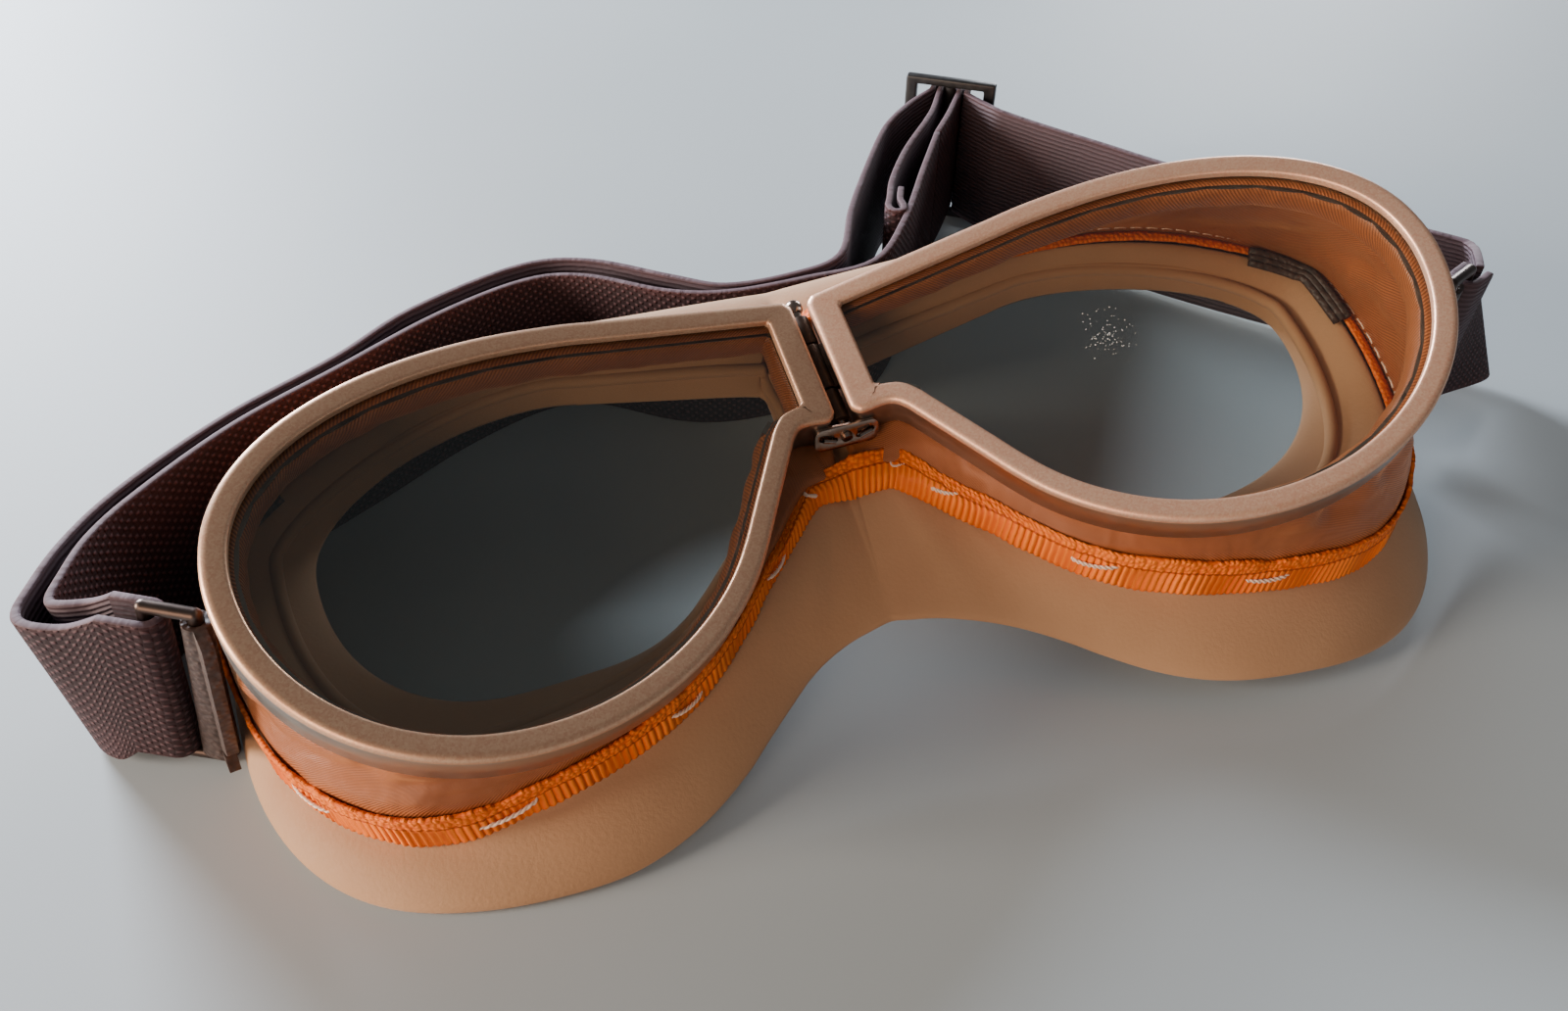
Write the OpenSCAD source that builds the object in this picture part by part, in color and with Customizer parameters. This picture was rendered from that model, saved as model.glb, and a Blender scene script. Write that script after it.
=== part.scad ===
// Folding tanker goggles lying on a table: two teardrop metal eyepieces hinged over the nose,
// cloth gussets down to a moulded rubber face mask, and an elastic head strap with a slider.
// Millimetres, +Z up. The origin is on the table under the nose hinge, +X to the right eye
// as it lies here, +Y from the cheeks towards the forehead.

/* [Eyepiece frames] */
// Width of one teardrop frame, nose edge to temple end
frame_w = 84; // [80:0.5:90]
// Height of the frame above the middle of the nose bar
frame_up = 11.9; // [11:0.1:13]
// Depth of the frame below the middle of the nose bar
frame_down = 46.5; // [44:0.5:50]
// Depth of the frame's side wall, face to rear edge
frame_depth = 7; // [6.5:0.1:8]
// Width of the frame's flat face
face_w = 3.2; // [2.8:0.1:3.6]
// Width of the frame's face along the nose bar
nose_face_w = 4.6; // [4:0.1:5.4]
// Thickness of the frame's face
face_t = 1.2; // [1:0.1:1.4]
// Thickness of the frame's side wall
wall_t = 1.2; // [1:0.1:1.3]
// Break on the frame's outer front edge
edge_break = 0.5; // [0.3:0.1:0.8]
// Thickness of the lens
lens_t = 1.6; // [1.4:0.1:2]
// Gap between the lens edge and the side wall
lens_gap = 0.2; // [0.1:0.05:0.3]
// Wall of the lens retaining ring
ring_t = 1.3; // [1:0.1:1.5]
// Depth of the lens retaining ring
ring_depth = 3.9; // [3:0.1:4.4]

/* [Nose hinge] */
// Slope of the hinge line, forehead end higher
pitch = 21.3; // [18:0.1:24]
// Height of the hinge line above the table at its middle
hinge_z = 31.1; // [30.5:0.1:33]
// Place of the hinge line's middle towards the forehead
hinge_y = 1.4; // [0.5:0.1:3]
// Height of the frame's face above the hinge line
face_rise = 3.4; // [3.2:0.1:4]
// Distance from the hinge line to the frame's nose edge
nose_gap = 1.85; // [1.85:0.05:2.4]
// How far the left eyepiece's temple end is raised at rest
left_tilt = 8; // [6:0.5:10]
// How far the right eyepiece's temple end is raised at rest
right_tilt = 18; // [16:0.5:20]
// How far the left eyepiece folds down until it meets the mask
left_fold = 1.5; // [1:0.5:2]
// How far the right eyepiece folds down
right_fold = 6; // [4:0.5:8]
// Radius of the hinge pin
pin_r = 0.8; // [0.6:0.05:0.9]
// Running clearance round the pin
pin_clear = 0.05; // [0.03:0.01:0.1]
// Radius of the hinge knuckles
knuckle_r = 1.5; // [1.4:0.05:1.5]
// Radius of the ball on the pin's top end
ball_r = 1.4; // [1.2:0.1:1.8]
// Width of the bracket plate on the pin's lower end
bracket_w = 10; // [9:0.1:11]
// Height of the bracket plate
bracket_h = 3.8; // [3.6:0.1:4.4]
// Thickness of the bracket plate
bracket_t = 0.8; // [0.6:0.1:1]
// Radius of the staple's wire
staple_r = 0.35; // [0.25:0.05:0.4]

/* [Face mask] */
// Height of the mask's face surface on the table at the nose
mask_h = 19.5; // [19:0.1:21]
// Slope of the mask's forehead half, in degrees
brow_pitch = 15; // [13:0.5:17]
// Drop of the mask's surface at the left temple
left_drop = 13.6; // [12:0.2:15]
// Drop of the mask's surface at the right temple
right_drop = 9; // [7:0.2:11]
// Spread of the mask's right lobe as it lies
right_spread = 6.5; // [4:0.5:7]
// Turn of the soft mask under the frames
mask_yaw = -2.2; // [-3:0.1:0]
// Slope that lifts the mask's right half as it lies, in degrees
right_lift = 3.5; // [2:0.5:4]
// Half of the mask's width
mask_half = 91.5; // [90:0.5:96]
// Half of the seam's width, under the ribbon
seam_half = 88.8; // [87.5:0.1:89.5]
// Half of the eye holes' width, over both
hole_half = 77; // [75:0.5:79]
// Reach of the cheek lobes
lobe_reach = 51.5; // [50:0.5:56]
// Reach of the forehead edge
forehead = 28.5; // [27:0.5:29]
// Reach of the nose arch between the lobes
arch_reach = 31; // [28:0.5:34]
// Thickness of the rubber at the brim
rubber_t = 1.8; // [1.4:0.1:2.2]
// Rise of the brim from its edge to the gusset seam
shoulder = 5.5; // [4.5:0.1:6]
// Height of the collar that the gusset is sewn to
collar_h = 6.5; // [5.5:0.1:7]

/* [Gussets and ribbon] */
// Thickness of the gusset cloth
cloth_t = 0.8; // [0.6:0.1:0.9]
// Clearance between neighbouring soft layers
soft_gap = 0.3; // [0.2:0.05:0.3]
// Thickness of the ribbon binding
ribbon_t = 0.8; // [0.6:0.1:1]
// Width of the ribbon binding
ribbon_w = 6.5; // [5.5:0.1:7]
// Depth of the folds in the gusset cloth
fold_depth = 0.6; // [0:0.1:0.8]
// Length of one hand stitch
stitch_l = 6; // [4:0.5:8]
// Radius of the sewing thread
thread_r = 0.35; // [0.25:0.05:0.4]

/* [Strap] */
// Width of the webbing
strap_w = 28; // [26:0.5:30]
// Thickness of the webbing
strap_t = 1.4; // [1:0.1:1.5]
// Wire radius of the strap rings
wire_r = 0.9; // [0.7:0.05:1]
// Distance between the two long bars of a ring
ring_span = 6; // [5.8:0.1:7]
// Running clearance of the ring's bar in its tab
bar_clear = 0.08; // [0.04:0.01:0.1]
// Thickness of the folded leather of a tab
tab_t = 1.5; // [1.2:0.1:1.6]
// Length of the slider frame along the strap
slider_l = 19.5; // [18:0.5:22]
// Thickness of the slider frame
slider_t = 2.2; // [1.8:0.1:2.6]
// Width of the slider's end posts
slider_post = 2.4; // [2:0.1:3]
// Radius of the slider's centre bar
slider_bar_r = 1.1; // [0.9:0.05:1.2]

/* [Hidden] */

eps = 0.01;
round_fn = 48;
rubber_colour = "#b0896a";
ribbon_colour = "#e07820";
gusset_colour = "#8c5233";
frame_colour = "#b29a80";
lens_colour = "#5a605a";
steel_colour = "#8f8078";
leather_colour = "#3b2a26";
web_colour = "#4a3233";
thread_colour = "#e8c8a0";
slider_colour = "#1c1c1e";

// Curves
function bez(a, b, c, d, t) =
  pow(1 - t, 3) * a + 3 * t * pow(1 - t, 2) * b + 3 * t * t * (1 - t) * c + t * t * t * d;
function unit(v) = v / norm(v);
function left_of(v) = [-v[1], v[0]];
function lerp(a, b, t) = a + (b - a) * t;
function turn(p, a) = [p[0] * cos(a) - p[1] * sin(a), p[0] * sin(a) + p[1] * cos(a)];
function arc(c, r, a0, a1, n) = [for (i = [0:n]) let (a = lerp(a0, a1, i / n)) c + r * [cos(a), sin(a)]];
// A Bezier stretch moved inwards by off, without its first point
function stretch(a, b, c, d, n, off) = [
  for (i = [1:n])
    let (t = i / n, p = bez(a, b, c, d, t), q = bez(a, b, c, d, t - 0.01))
      p - off * left_of(unit(p - q))
];
// A smooth line through hand-chosen points
function smooth(p, n) = [
  for (i = [0:len(p) - 2], k = [0:n - 1])
    let (a = p[max(i - 1, 0)], b = p[i], c = p[i + 1], d = p[min(i + 2, len(p) - 1)])
      bez(b, b + (c - a) / 6, c - (d - b) / 6, c, k / n),
  p[len(p) - 1]
];
// A band of thickness t along a line
function band(p, t) =
  let (
    n = len(p),
    side = [for (i = [0:n - 1]) left_of(unit(p[min(i + 1, n - 1)] - p[max(i - 1, 0)])) * t / 2]
  ) concat([for (i = [0:n - 1]) p[i] + side[i]], [for (i = [n - 1:-1:0]) p[i] - side[i]]);

// Teardrop loops of the right half, all with the same stations: nose corner, top, temple, cheek,
// lower side, diagonal, notch, nose corner and nose side. Each is given by its nose side, top
// height, top end, temple, lowest point, the two ends of the diagonal and the notch's end.
N_CORNER = 3;
N_TOP = 5;
N_TEMPLE = 8;
N_CHEEK = 8;
N_LOWER = 7;
N_DIAG = 3;
N_NOTCH = 3;
N_BAR = 4;
STATIONS = N_CORNER + 1 + N_TOP + N_TEMPLE + N_CHEEK + N_LOWER + N_DIAG + N_NOTCH + N_CORNER + 1 + N_BAR;
function teardrop(nose_x, top_y, top, temple, low, da, db, notch, corner, off = 0, nose_off = 0) =
  let (
    rc = max(corner - off / 2, 0.8),
    x0 = nose_x + nose_off,
    y1 = top_y - off,
    y0 = notch[1] + off,
    along = unit(da - db),
    run = norm(da - db)
  )
    concat(
      arc([x0 + rc, y1 - rc], rc, 180, 90, N_CORNER),
      [for (i = [1:N_TOP]) lerp([x0 + rc, y1], top - [0, off], i / N_TOP)],
      stretch(
        top, [lerp(top[0], temple[0], 0.5625), top[1]], [temple[0], lerp(temple[1], top[1], 0.616)], temple,
        N_TEMPLE, off
      ),
      stretch(
        temple, [temple[0], lerp(temple[1], low[1], 0.55)], [lerp(low[0], temple[0], 0.56), low[1]], low,
        N_CHEEK, off
      ),
      stretch(low, [lerp(low[0], da[0], 0.45), low[1]], da + 0.75 * run * along, da, N_LOWER, off),
      [for (i = [1:N_DIAG]) lerp(da, db, i / N_DIAG) + off * left_of(along)],
      stretch(db, db - 0.14 * run * along, notch + [2, 0], notch, N_NOTCH, off),
      arc([x0 + rc, y0 + rc], rc, 270, 180, N_CORNER),
      [for (i = [1:N_BAR]) lerp([x0, y0 + rc], [x0, y1 - rc], i / (N_BAR + 1))]
    );
// Frame outline, off inwards of the rim, nose_off inwards of the nose side
widest_v = -16.5;
nose_top = frame_up - 1;
nose_bottom = -10.4;
function outline(off, nose_off) =
  teardrop(
    0, nose_top, [36, frame_up], [frame_w, widest_v], [51.5, -frame_down],
    [17, -27.5], [8.6, -13.9], [4.5, nose_bottom], 1.8, off, nose_off
  );

// Place a point given as u outwards, v along the hinge line, w off the hinge line
function place(p, tilt, side) =
  let (
    x = p[0] * cos(tilt) - p[2] * sin(tilt),
    n = p[0] * sin(tilt) + p[2] * cos(tilt)
  ) [side * x, hinge_y + p[1] * cos(pitch) - n * sin(pitch), hinge_z + p[1] * sin(pitch) + n * cos(pitch)];
module on_hinge() translate([0, hinge_y, hinge_z]) rotate([pitch, 0, 0]) children();
module as_eyepiece(side) {
  tilt = side > 0 ? right_tilt : left_tilt;
  mirror([side > 0 ? 0 : 1, 0, 0]) on_hinge() rotate([0, -tilt, 0]) children();
}
module slab(off, nose_off, low, high) {
  translate([nose_gap, 0, low]) linear_extrude(height = high - low) polygon(outline(off, nose_off));
}

// Mask surface
drop_start = 40;
drop_end = 91;
function clamp(v) = max(0, min(1, v));
function face_z(x, y) =
  max(
    0,
    mask_h + tan(y > 0 ? brow_pitch : pitch) * y + max(0, x) * tan(right_lift)
      - (x > 0 ? right_drop : left_drop) * pow(max(0, abs(x) - drop_start) / (drop_end - drop_start), 2)
  );
// Seam loop of the gusset, hole loop and brim loop, station by station, right half
seam_loop = teardrop(
  2.2, 16, [40, 17], [seam_half, 1], [61, -42.5], [23, -28.5], [11.5, -16.5], [5.5, -12.4], 2
);
hole_loop = teardrop(
  6.5, 8.5, [40, 14.5], [hole_half, 0], [50, -26.5], [24, -19.5], [12, -9], [9, -5.5], 2
);
arch_edge = [0, -arch_reach];
brow_edge = [0, forehead];
lobe_low = [60, -lobe_reach];
lobe_in = [28, -arch_reach - 12];
temple = [mask_half, -8];
N_ARCH = N_DIAG + N_NOTCH + N_CORNER + 1;
brim_loop = concat(
  [for (i = [0:N_CORNER + N_TOP]) lerp(brow_edge, [50, forehead + 1], i / (N_CORNER + N_TOP))],
  stretch([50, forehead + 1], [mask_half - 9, forehead + 0.5], [mask_half + 0.5, 12], temple, N_TEMPLE, 0),
  stretch(temple, [mask_half, -32], [80, -lobe_reach], lobe_low, N_CHEEK, 0),
  stretch(lobe_low, [47, -lobe_reach], [37, -arch_reach - 18.5], lobe_in, N_LOWER, 0),
  stretch(lobe_in, [20, -arch_reach - 6.5], [11, -arch_reach], arch_edge, N_ARCH, 0),
  [for (i = [1:N_BAR]) lerp([0, -11], [0, 14], (i - 1) / (N_BAR - 1))]
);
// Stations from the arch up the middle line, whose outer wall is shared by both halves
MID_FIRST = STATIONS - N_BAR - 1;
function on_middle(j) = j >= MID_FIRST || j == 0;
function ridge(j) = j > MID_FIRST ? 1 : 0;
function spread(side, p) =
  side < 0 ? [-p[0], p[1]]
  : [p[0] + right_spread * pow(p[0] / mask_half, 2) * clamp((10 - p[1]) / 40), p[1]];
function mask_point(side, xy, rise) =
  let (p = spread(side, xy)) concat(turn(p, mask_yaw), [face_z(p[0], p[1]) + rise]);
// Point of the seam loop moved out by d
function seam_out(j, d) =
  let (n = STATIONS, t = unit(seam_loop[(j + 1) % n] - seam_loop[(j + n - 1) % n]))
    seam_loop[j] + d * left_of(t);
// The shoulder is lower at the forehead, and the collar is low along the nose under the frames
// and leans inwards across the nose
BAR_FIRST = STATIONS - N_BAR - N_CORNER;
nose_collar = 0.9;
nose_end_collar = 3.5;
nose_lean = 2.6;
brow_lean = 1.5;
brow_step = 2.2;
function base(j) = shoulder - brow_step * clamp((seam_loop[j][1] + 2) / 14);
function nose_share(j) = clamp(1 - (seam_loop[j][0] - 3) / 12);
// Height above the face surface of the frame's rear edge, with the eyepiece folded down
frame_room = 0.5;
function room(side, j) =
  let (
    q = mask_point(side, seam_loop[j], 0),
    t = side > 0 ? right_tilt - right_fold : left_tilt - left_fold,
    n = (wall_low - frame_room + abs(q[0]) * sin(t)) / cos(t)
  ) hinge_z + (n + (q[1] - hinge_y) * sin(pitch)) / cos(pitch) - q[2];
function collar(side, j) =
  let (nose_h = j >= BAR_FIRST || j < N_CORNER - 1 ? nose_collar : nose_end_collar)
    min(base(j) + collar_h - nose_share(j) * (collar_h - nose_h), room(side, j) - 0.3);
function lean(j, rise) =
  (seam_loop[j][1] < -8 ? nose_lean * nose_share(j) : brow_lean * clamp(seam_loop[j][1] / 14))
    * max(0, rise - base(j)) / ribbon_w;
function wall_point(side, j, d, rise) = mask_point(side, seam_out(j, d - lean(j, rise)), rise);
// Cross-section of the rubber at one station: outer face from the brim to the eye hole, then back
function section(side, j) =
  let (
    b = brim_loop[j],
    g = seam_loop[j],
    h = hole_loop[j],
    l = norm(h - g),
    inward = unit(h - g),
    low = base(j),
    up = ridge(j) * (low - rubber_t),
    top = collar(side, j),
    hump = 0.62 * low
  ) [
    mask_point(side, b, rubber_t + up),
    mask_point(side, lerp(b, g, 0.5), lerp(rubber_t + hump, low, ridge(j))),
    mask_point(side, g, low),
    wall_point(side, j, -0.3, top - 0.5),
    wall_point(side, j, -min(1.2, 0.25 * l), top + 0.3),
    wall_point(side, j, -min(3, 0.5 * l), top - 1),
    mask_point(side, h, rubber_t),
    mask_point(side, h, 0),
    wall_point(side, j, -min(4, 0.75 * l), top - 3.2),
    wall_point(side, j, -min(2.2, 0.45 * l), top - 2.5),
    mask_point(side, g + inward * min(1.8, 0.38 * l), low - rubber_t),
    mask_point(side, lerp(b, g, 0.5), hump - 0.2),
    mask_point(side, lerp(b, g, min(0.45, 2 / norm(b - g))), up * 0.8),
    mask_point(side, b, up)
  ];
RINGS = 14;
function ring_index(side, j, r) =
  let (jj = j % STATIONS, shared = on_middle(jj) && (r == 0 || r == RINGS - 1))
    (side > 0 || shared ? 0 : STATIONS * RINGS) + jj * RINGS + r;
function quad(a, b, c, d, flip) = flip ? [[a, c, b], [a, d, c]] : [[a, b, c], [a, c, d]];
function cap(a, b, c, flip) = flip ? [[a, c, b]] : [[a, b, c]];
module mask() {
  pts = [for (side = [1, -1], j = [0:STATIONS - 1]) each section(side, j)];
  faces = [
    for (side = [1, -1], j = [0:STATIONS - 1], r = [0:RINGS - 1])
      let (r2 = (r + 1) % RINGS, wall = r == RINGS - 1 && on_middle(j) && on_middle((j + 1) % STATIONS))
        if (!wall)
          each quad(
            ring_index(side, j, r), ring_index(side, j + 1, r),
            ring_index(side, j + 1, r2), ring_index(side, j, r2), side < 0
          )
  ];
  color(rubber_colour) polyhedron(points = pts, faces = faces, convexity = 8);
}

// Loft through rings of equally many points, closed round both ways, or open with two ends
module loft(rings, side, closed = true) {
  n = len(rings[0]);
  m = len(rings);
  pts = [for (r = rings) each r];
  last = closed ? n - 1 : n - 2;
  sides = [
    for (j = [0:last], r = [0:m - 1])
      let (j2 = (j + 1) % n, r2 = (r + 1) % m)
        each quad(r * n + j, r * n + j2, r2 * n + j2, r2 * n + j, side < 0)
  ];
  ends = closed ? [] : concat(
    [for (r = [1:m - 2]) each cap(0, r * n, (r + 1) * n, side < 0)],
    [for (r = [1:m - 2]) each cap(n - 1, r * n + n - 1, (r + 1) * n + n - 1, side > 0)]
  );
  polyhedron(points = pts, faces = concat(sides, ends), convexity = 8);
}

// Ribbon binding: an open band round the outside of the seam, meeting its twin on the middle line
ribbon_in = cloth_t + 2 * soft_gap;
ribbon_low = 0.2;
RIBBON_LAST = STATIONS - N_BAR - N_CORNER - 2;
function ribbon_rise(side, j, rise) = min(base(j) + rise, room(side, j));
function ribbon_ring(side, d, rise) =
  let (
    first = seam_out(N_CORNER, d),
    last = seam_out(RIBBON_LAST, d),
    first_rise = min(ribbon_rise(-1, N_CORNER, rise), ribbon_rise(1, N_CORNER, rise)),
    last_rise = min(ribbon_rise(-1, RIBBON_LAST, rise), ribbon_rise(1, RIBBON_LAST, rise))
  ) concat(
    [mask_point(side, [0, first[1] + 0.6 - lean(N_CORNER, first_rise)], first_rise)],
    [for (j = [N_CORNER:RIBBON_LAST]) wall_point(side, j, d, ribbon_rise(side, j, rise))],
    [mask_point(side, [0, last[1] - 0.6 + lean(RIBBON_LAST, last_rise)], last_rise)]
  );
module ribbon(side) {
  outer = ribbon_in + ribbon_t;
  rings = [
    ribbon_ring(side, outer, ribbon_low),
    ribbon_ring(side, outer, ribbon_low + ribbon_w),
    ribbon_ring(side, ribbon_in, ribbon_low + ribbon_w),
    ribbon_ring(side, ribbon_in, ribbon_low)
  ];
  color(ribbon_colour) loft(rings, side, closed = false);
}
module left_ribbon() ribbon(-1);
module right_ribbon() ribbon(1);

// Cloth gusset: from inside the frame's wall down to the outside of the mask's collar
lens_top = face_rise - face_t;
lens_low = lens_top - lens_t;
wall_low = face_rise - frame_depth;
gusset_top = lens_low - 0.7;
cloth_off = wall_t + soft_gap;
function rim_ring(side, off, w) =
  let (tilt = side > 0 ? right_tilt : left_tilt)
    [for (p = outline(off, off)) place([p[0] + nose_gap, p[1], w], tilt, side)];
function seam_ring(side, d, rise) =
  [for (j = [0:STATIONS - 1]) wall_point(side, j, d, rise + collar(side, j))];
function hem_ring(side, d) =
  [for (j = [0:STATIONS - 1]) wall_point(side, j, d, min(base(j) + ribbon_low + 1, collar(side, j) - 0.4))];
// Gathered folds half-way up the cloth, none across the nose
FOLDS = 11;
function fold(j) = fold_depth * (1 - nose_share(j)) * cos(360 * FOLDS * j / STATIONS);
function fold_ring(side, d, rim) =
  [for (j = [0:STATIONS - 1]) lerp(wall_point(side, j, d + 2 * fold(j), collar(side, j) + 0.9), rim[j], 0.5)];
module gusset(side) {
  far = soft_gap + cloth_t;
  rings = [
    hem_ring(side, far),
    seam_ring(side, far, 0.9),
    fold_ring(side, far, rim_ring(side, cloth_off, wall_low - 0.5)),
    rim_ring(side, cloth_off, wall_low - 0.5),
    rim_ring(side, cloth_off, gusset_top),
    rim_ring(side, cloth_off + cloth_t, gusset_top),
    rim_ring(side, cloth_off + cloth_t, wall_low - 1.3),
    fold_ring(side, soft_gap, rim_ring(side, cloth_off + cloth_t, wall_low - 0.9)),
    seam_ring(side, soft_gap, 0.4),
    hem_ring(side, soft_gap)
  ];
  color(gusset_colour) loft(rings, side);
}
module left_gusset() gusset(-1);
module right_gusset() gusset(1);

// Hand stitches over the ribbon
module thread(a, b) {
  d = b - a;
  translate(a) rotate([0, acos(d[2] / norm(d)), atan2(d[1], d[0])])
    cylinder(r = thread_r, h = norm(d), $fn = 16);
}
module hand_stitches(side, places) {
  out = ribbon_in + ribbon_t + thread_r + 0.05;
  color(thread_colour) for (j = places) {
    a = wall_point(side, j, out, base(j) + 0.5 * ribbon_w);
    b = wall_point(side, j + 1, out, base(j + 1) + 0.4 * ribbon_w);
    thread(a, a + unit(b - a) * min(stitch_l, norm(b - a)));
  }
}
left_stitch_places = [20, 24, 28, 32];
right_stitch_places = [19, 25, 29, 33];
module left_hand_stitches() hand_stitches(-1, left_stitch_places);
module right_hand_stitches() hand_stitches(1, right_stitch_places);

// Eyepieces
knuckle_end = 9.2;
knuckle_mid = 3.9;
knuckle_gap = 0.3;
web_half = 0.8;
module along_pin(r, v0, v1) {
  translate([0, v1, 0]) rotate([90, 0, 0]) cylinder(r = r, h = v1 - v0, $fn = round_fn);
}
module knuckle(v0, v1) {
  along_pin(knuckle_r, v0, v1);
  translate([0, v0, -web_half]) cube([nose_gap + wall_t, v1 - v0, 2 * web_half]);
}
module frame_shell() {
  difference() {
    union() {
      slab(0, 0, wall_low, face_rise - edge_break);
      slab(edge_break, edge_break, face_rise - edge_break - eps, face_rise);
    }
    slab(wall_t, wall_t, wall_low - 1, face_rise - face_t);
    slab(face_w, nose_face_w, wall_low - 1, face_rise + 1);
  }
}
module eye_frame(side) {
  color(frame_colour) as_eyepiece(side) difference() {
    union() {
      frame_shell();
      if (side < 0) {
        knuckle(-knuckle_end, -knuckle_mid - knuckle_gap);
        knuckle(knuckle_mid + knuckle_gap, knuckle_end);
      } else {
        knuckle(-knuckle_mid, knuckle_mid);
      }
    }
    along_pin(pin_r + pin_clear, -knuckle_end - 1, knuckle_end + 1);
  }
}
module left_frame() eye_frame(-1);
module right_frame() eye_frame(1);

lens_off = wall_t + lens_gap;
module lens(side) {
  color(lens_colour) as_eyepiece(side) slab(lens_off, lens_off, lens_low, lens_top);
}
module left_lens() lens(-1);
module right_lens() lens(1);

ring_off = cloth_off + cloth_t + soft_gap;
module lens_ring(side) {
  color(steel_colour) as_eyepiece(side) difference() {
    slab(ring_off, ring_off, lens_low - ring_depth, lens_low);
    slab(ring_off + ring_t, ring_off + ring_t, lens_low - ring_depth - 1, lens_low + 1);
  }
}
module left_lens_ring() lens_ring(-1);
module right_lens_ring() lens_ring(1);

// Small lug on the retaining ring's inner wall at the notch
clip_size = [2.2, 0.8, 3];
NOTCH_FIRST = STATIONS - N_BAR - N_CORNER - 1 - N_NOTCH;
module rim_clip(side) {
  wall = outline(ring_off + ring_t, ring_off + ring_t);
  a = wall[NOTCH_FIRST];
  b = wall[NOTCH_FIRST + 1];
  color(steel_colour) as_eyepiece(side)
    translate([nose_gap + (a[0] + b[0]) / 2, (a[1] + b[1]) / 2, lens_low - clip_size[2] - 0.2])
      rotate([0, 0, atan2(b[1] - a[1], b[0] - a[0])])
        translate([-clip_size[0] / 2, -clip_size[1] - eps, 0]) cube(clip_size);
}
module left_rim_clip() rim_clip(-1);
module right_rim_clip() rim_clip(1);

// Nose hinge
bracket_v = nose_bottom - 0.6;
ball_v = nose_top + 0.6;
module hinge_pin() {
  color(steel_colour) on_hinge() {
    along_pin(pin_r, bracket_v - bracket_t - 0.4, ball_v);
    translate([0, ball_v, 0]) sphere(r = ball_r, $fn = round_fn);
  }
}
slot_l = 3;
slot_x = 2.9;
slot_slope = -18;
module bracket_slot(s) {
  translate([s * slot_x, bracket_v + 1, 0]) rotate([0, s * slot_slope, 0]) rotate([90, 0, 0])
    linear_extrude(height = bracket_t + 2) {
      square([slot_l - 1, 1], center = true);
      for (e = [-1, 1]) translate([e * (slot_l - 1) / 2, 0]) circle(r = 0.5, $fn = 24);
    }
}
module nose_bracket() {
  c = 1.2;
  color(steel_colour) on_hinge() difference() {
    translate([0, bracket_v, 0]) rotate([90, 0, 0]) linear_extrude(height = bracket_t) {
      square([bracket_w, bracket_h - 2 * c], center = true);
      square([bracket_w - 2 * c, bracket_h], center = true);
      for (x = [-1, 1], y = [-1, 1])
        translate([x * (bracket_w / 2 - c), y * (bracket_h / 2 - c)]) circle(r = c, $fn = round_fn);
    }
    bracket_slot(-1);
    bracket_slot(1);
    along_pin(pin_r, bracket_v - bracket_t - 1, bracket_v + 1);
  }
}
module bracket_staple() {
  leg = 1.6;
  color(thread_colour) on_hinge() for (s = [-1, 1]) {
    translate([s * slot_x, bracket_v - bracket_t - staple_r, 0]) rotate([0, s * slot_slope, 0]) {
      rotate([0, 90, 0]) translate([0, 0, -slot_l / 2 + 0.5])
        cylinder(r = staple_r, h = slot_l - 1, $fn = 24);
      translate([slot_l / 2 - 0.5 - staple_r, 0, 0]) rotate([-90, 0, 0])
        cylinder(r = staple_r, h = leg, $fn = 24);
    }
  }
}

// Strap rings, each with its inner bar in the tab and its outer bar in the webbing. Points and
// pieces here are given from the lower end of the inner bar: outwards, across, and up the bar.
ring_h = strap_w + 0.4;
web_low = wire_r + 0.2;
// The rings and the strap's ends move out with a wider mask or frame than they were laid round
laid_half = 91.5;
laid_frame = 84;
growth = max(0, mask_half - laid_half, frame_w - laid_frame);
function laid(p) =
  concat([p[0] + sign(p[0]) * growth * clamp((abs(p[0]) - 70) / 20)], [for (i = [1:len(p) - 1]) p[i]]);
left_bar = laid([-93.3, -13.9]);
left_dir = 156;
left_lean = 11.5;
right_bar = laid([98.8, -19]);
right_dir = 20;
right_lean = 0;
right_z = 5;
ring_side = [[left_bar, left_dir, left_lean, 0], [right_bar, right_dir, right_lean, right_z]];
function at_ring(r, p) =
  let (
    bar = r[0],
    x = p[0] * cos(r[2]) - p[2] * sin(r[2]),
    z = p[0] * sin(r[2]) + p[2] * cos(r[2])
  ) concat(bar + turn([x, p[1]], r[1]), [z + wire_r + r[3]]);
module on_ring(r) translate(at_ring(r, [0, 0, 0])) rotate([0, 0, r[1]]) rotate([0, -r[2], 0]) children();
module strap_ring(r) {
  top = ring_h + 2 * wire_r;
  color(steel_colour) on_ring(r) {
    for (x = [0, ring_span]) translate([x, 0, 0]) {
      cylinder(r = wire_r, h = top, $fn = round_fn);
      sphere(r = wire_r, $fn = round_fn);
      translate([0, 0, top]) sphere(r = wire_r, $fn = round_fn);
    }
    for (z = [0, top])
      translate([0, 0, z]) rotate([0, 90, 0]) cylinder(r = wire_r, h = ring_span, $fn = round_fn);
  }
}
module left_strap_ring() strap_ring(ring_side[0]);
module right_strap_ring() strap_ring(ring_side[1]);

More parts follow.
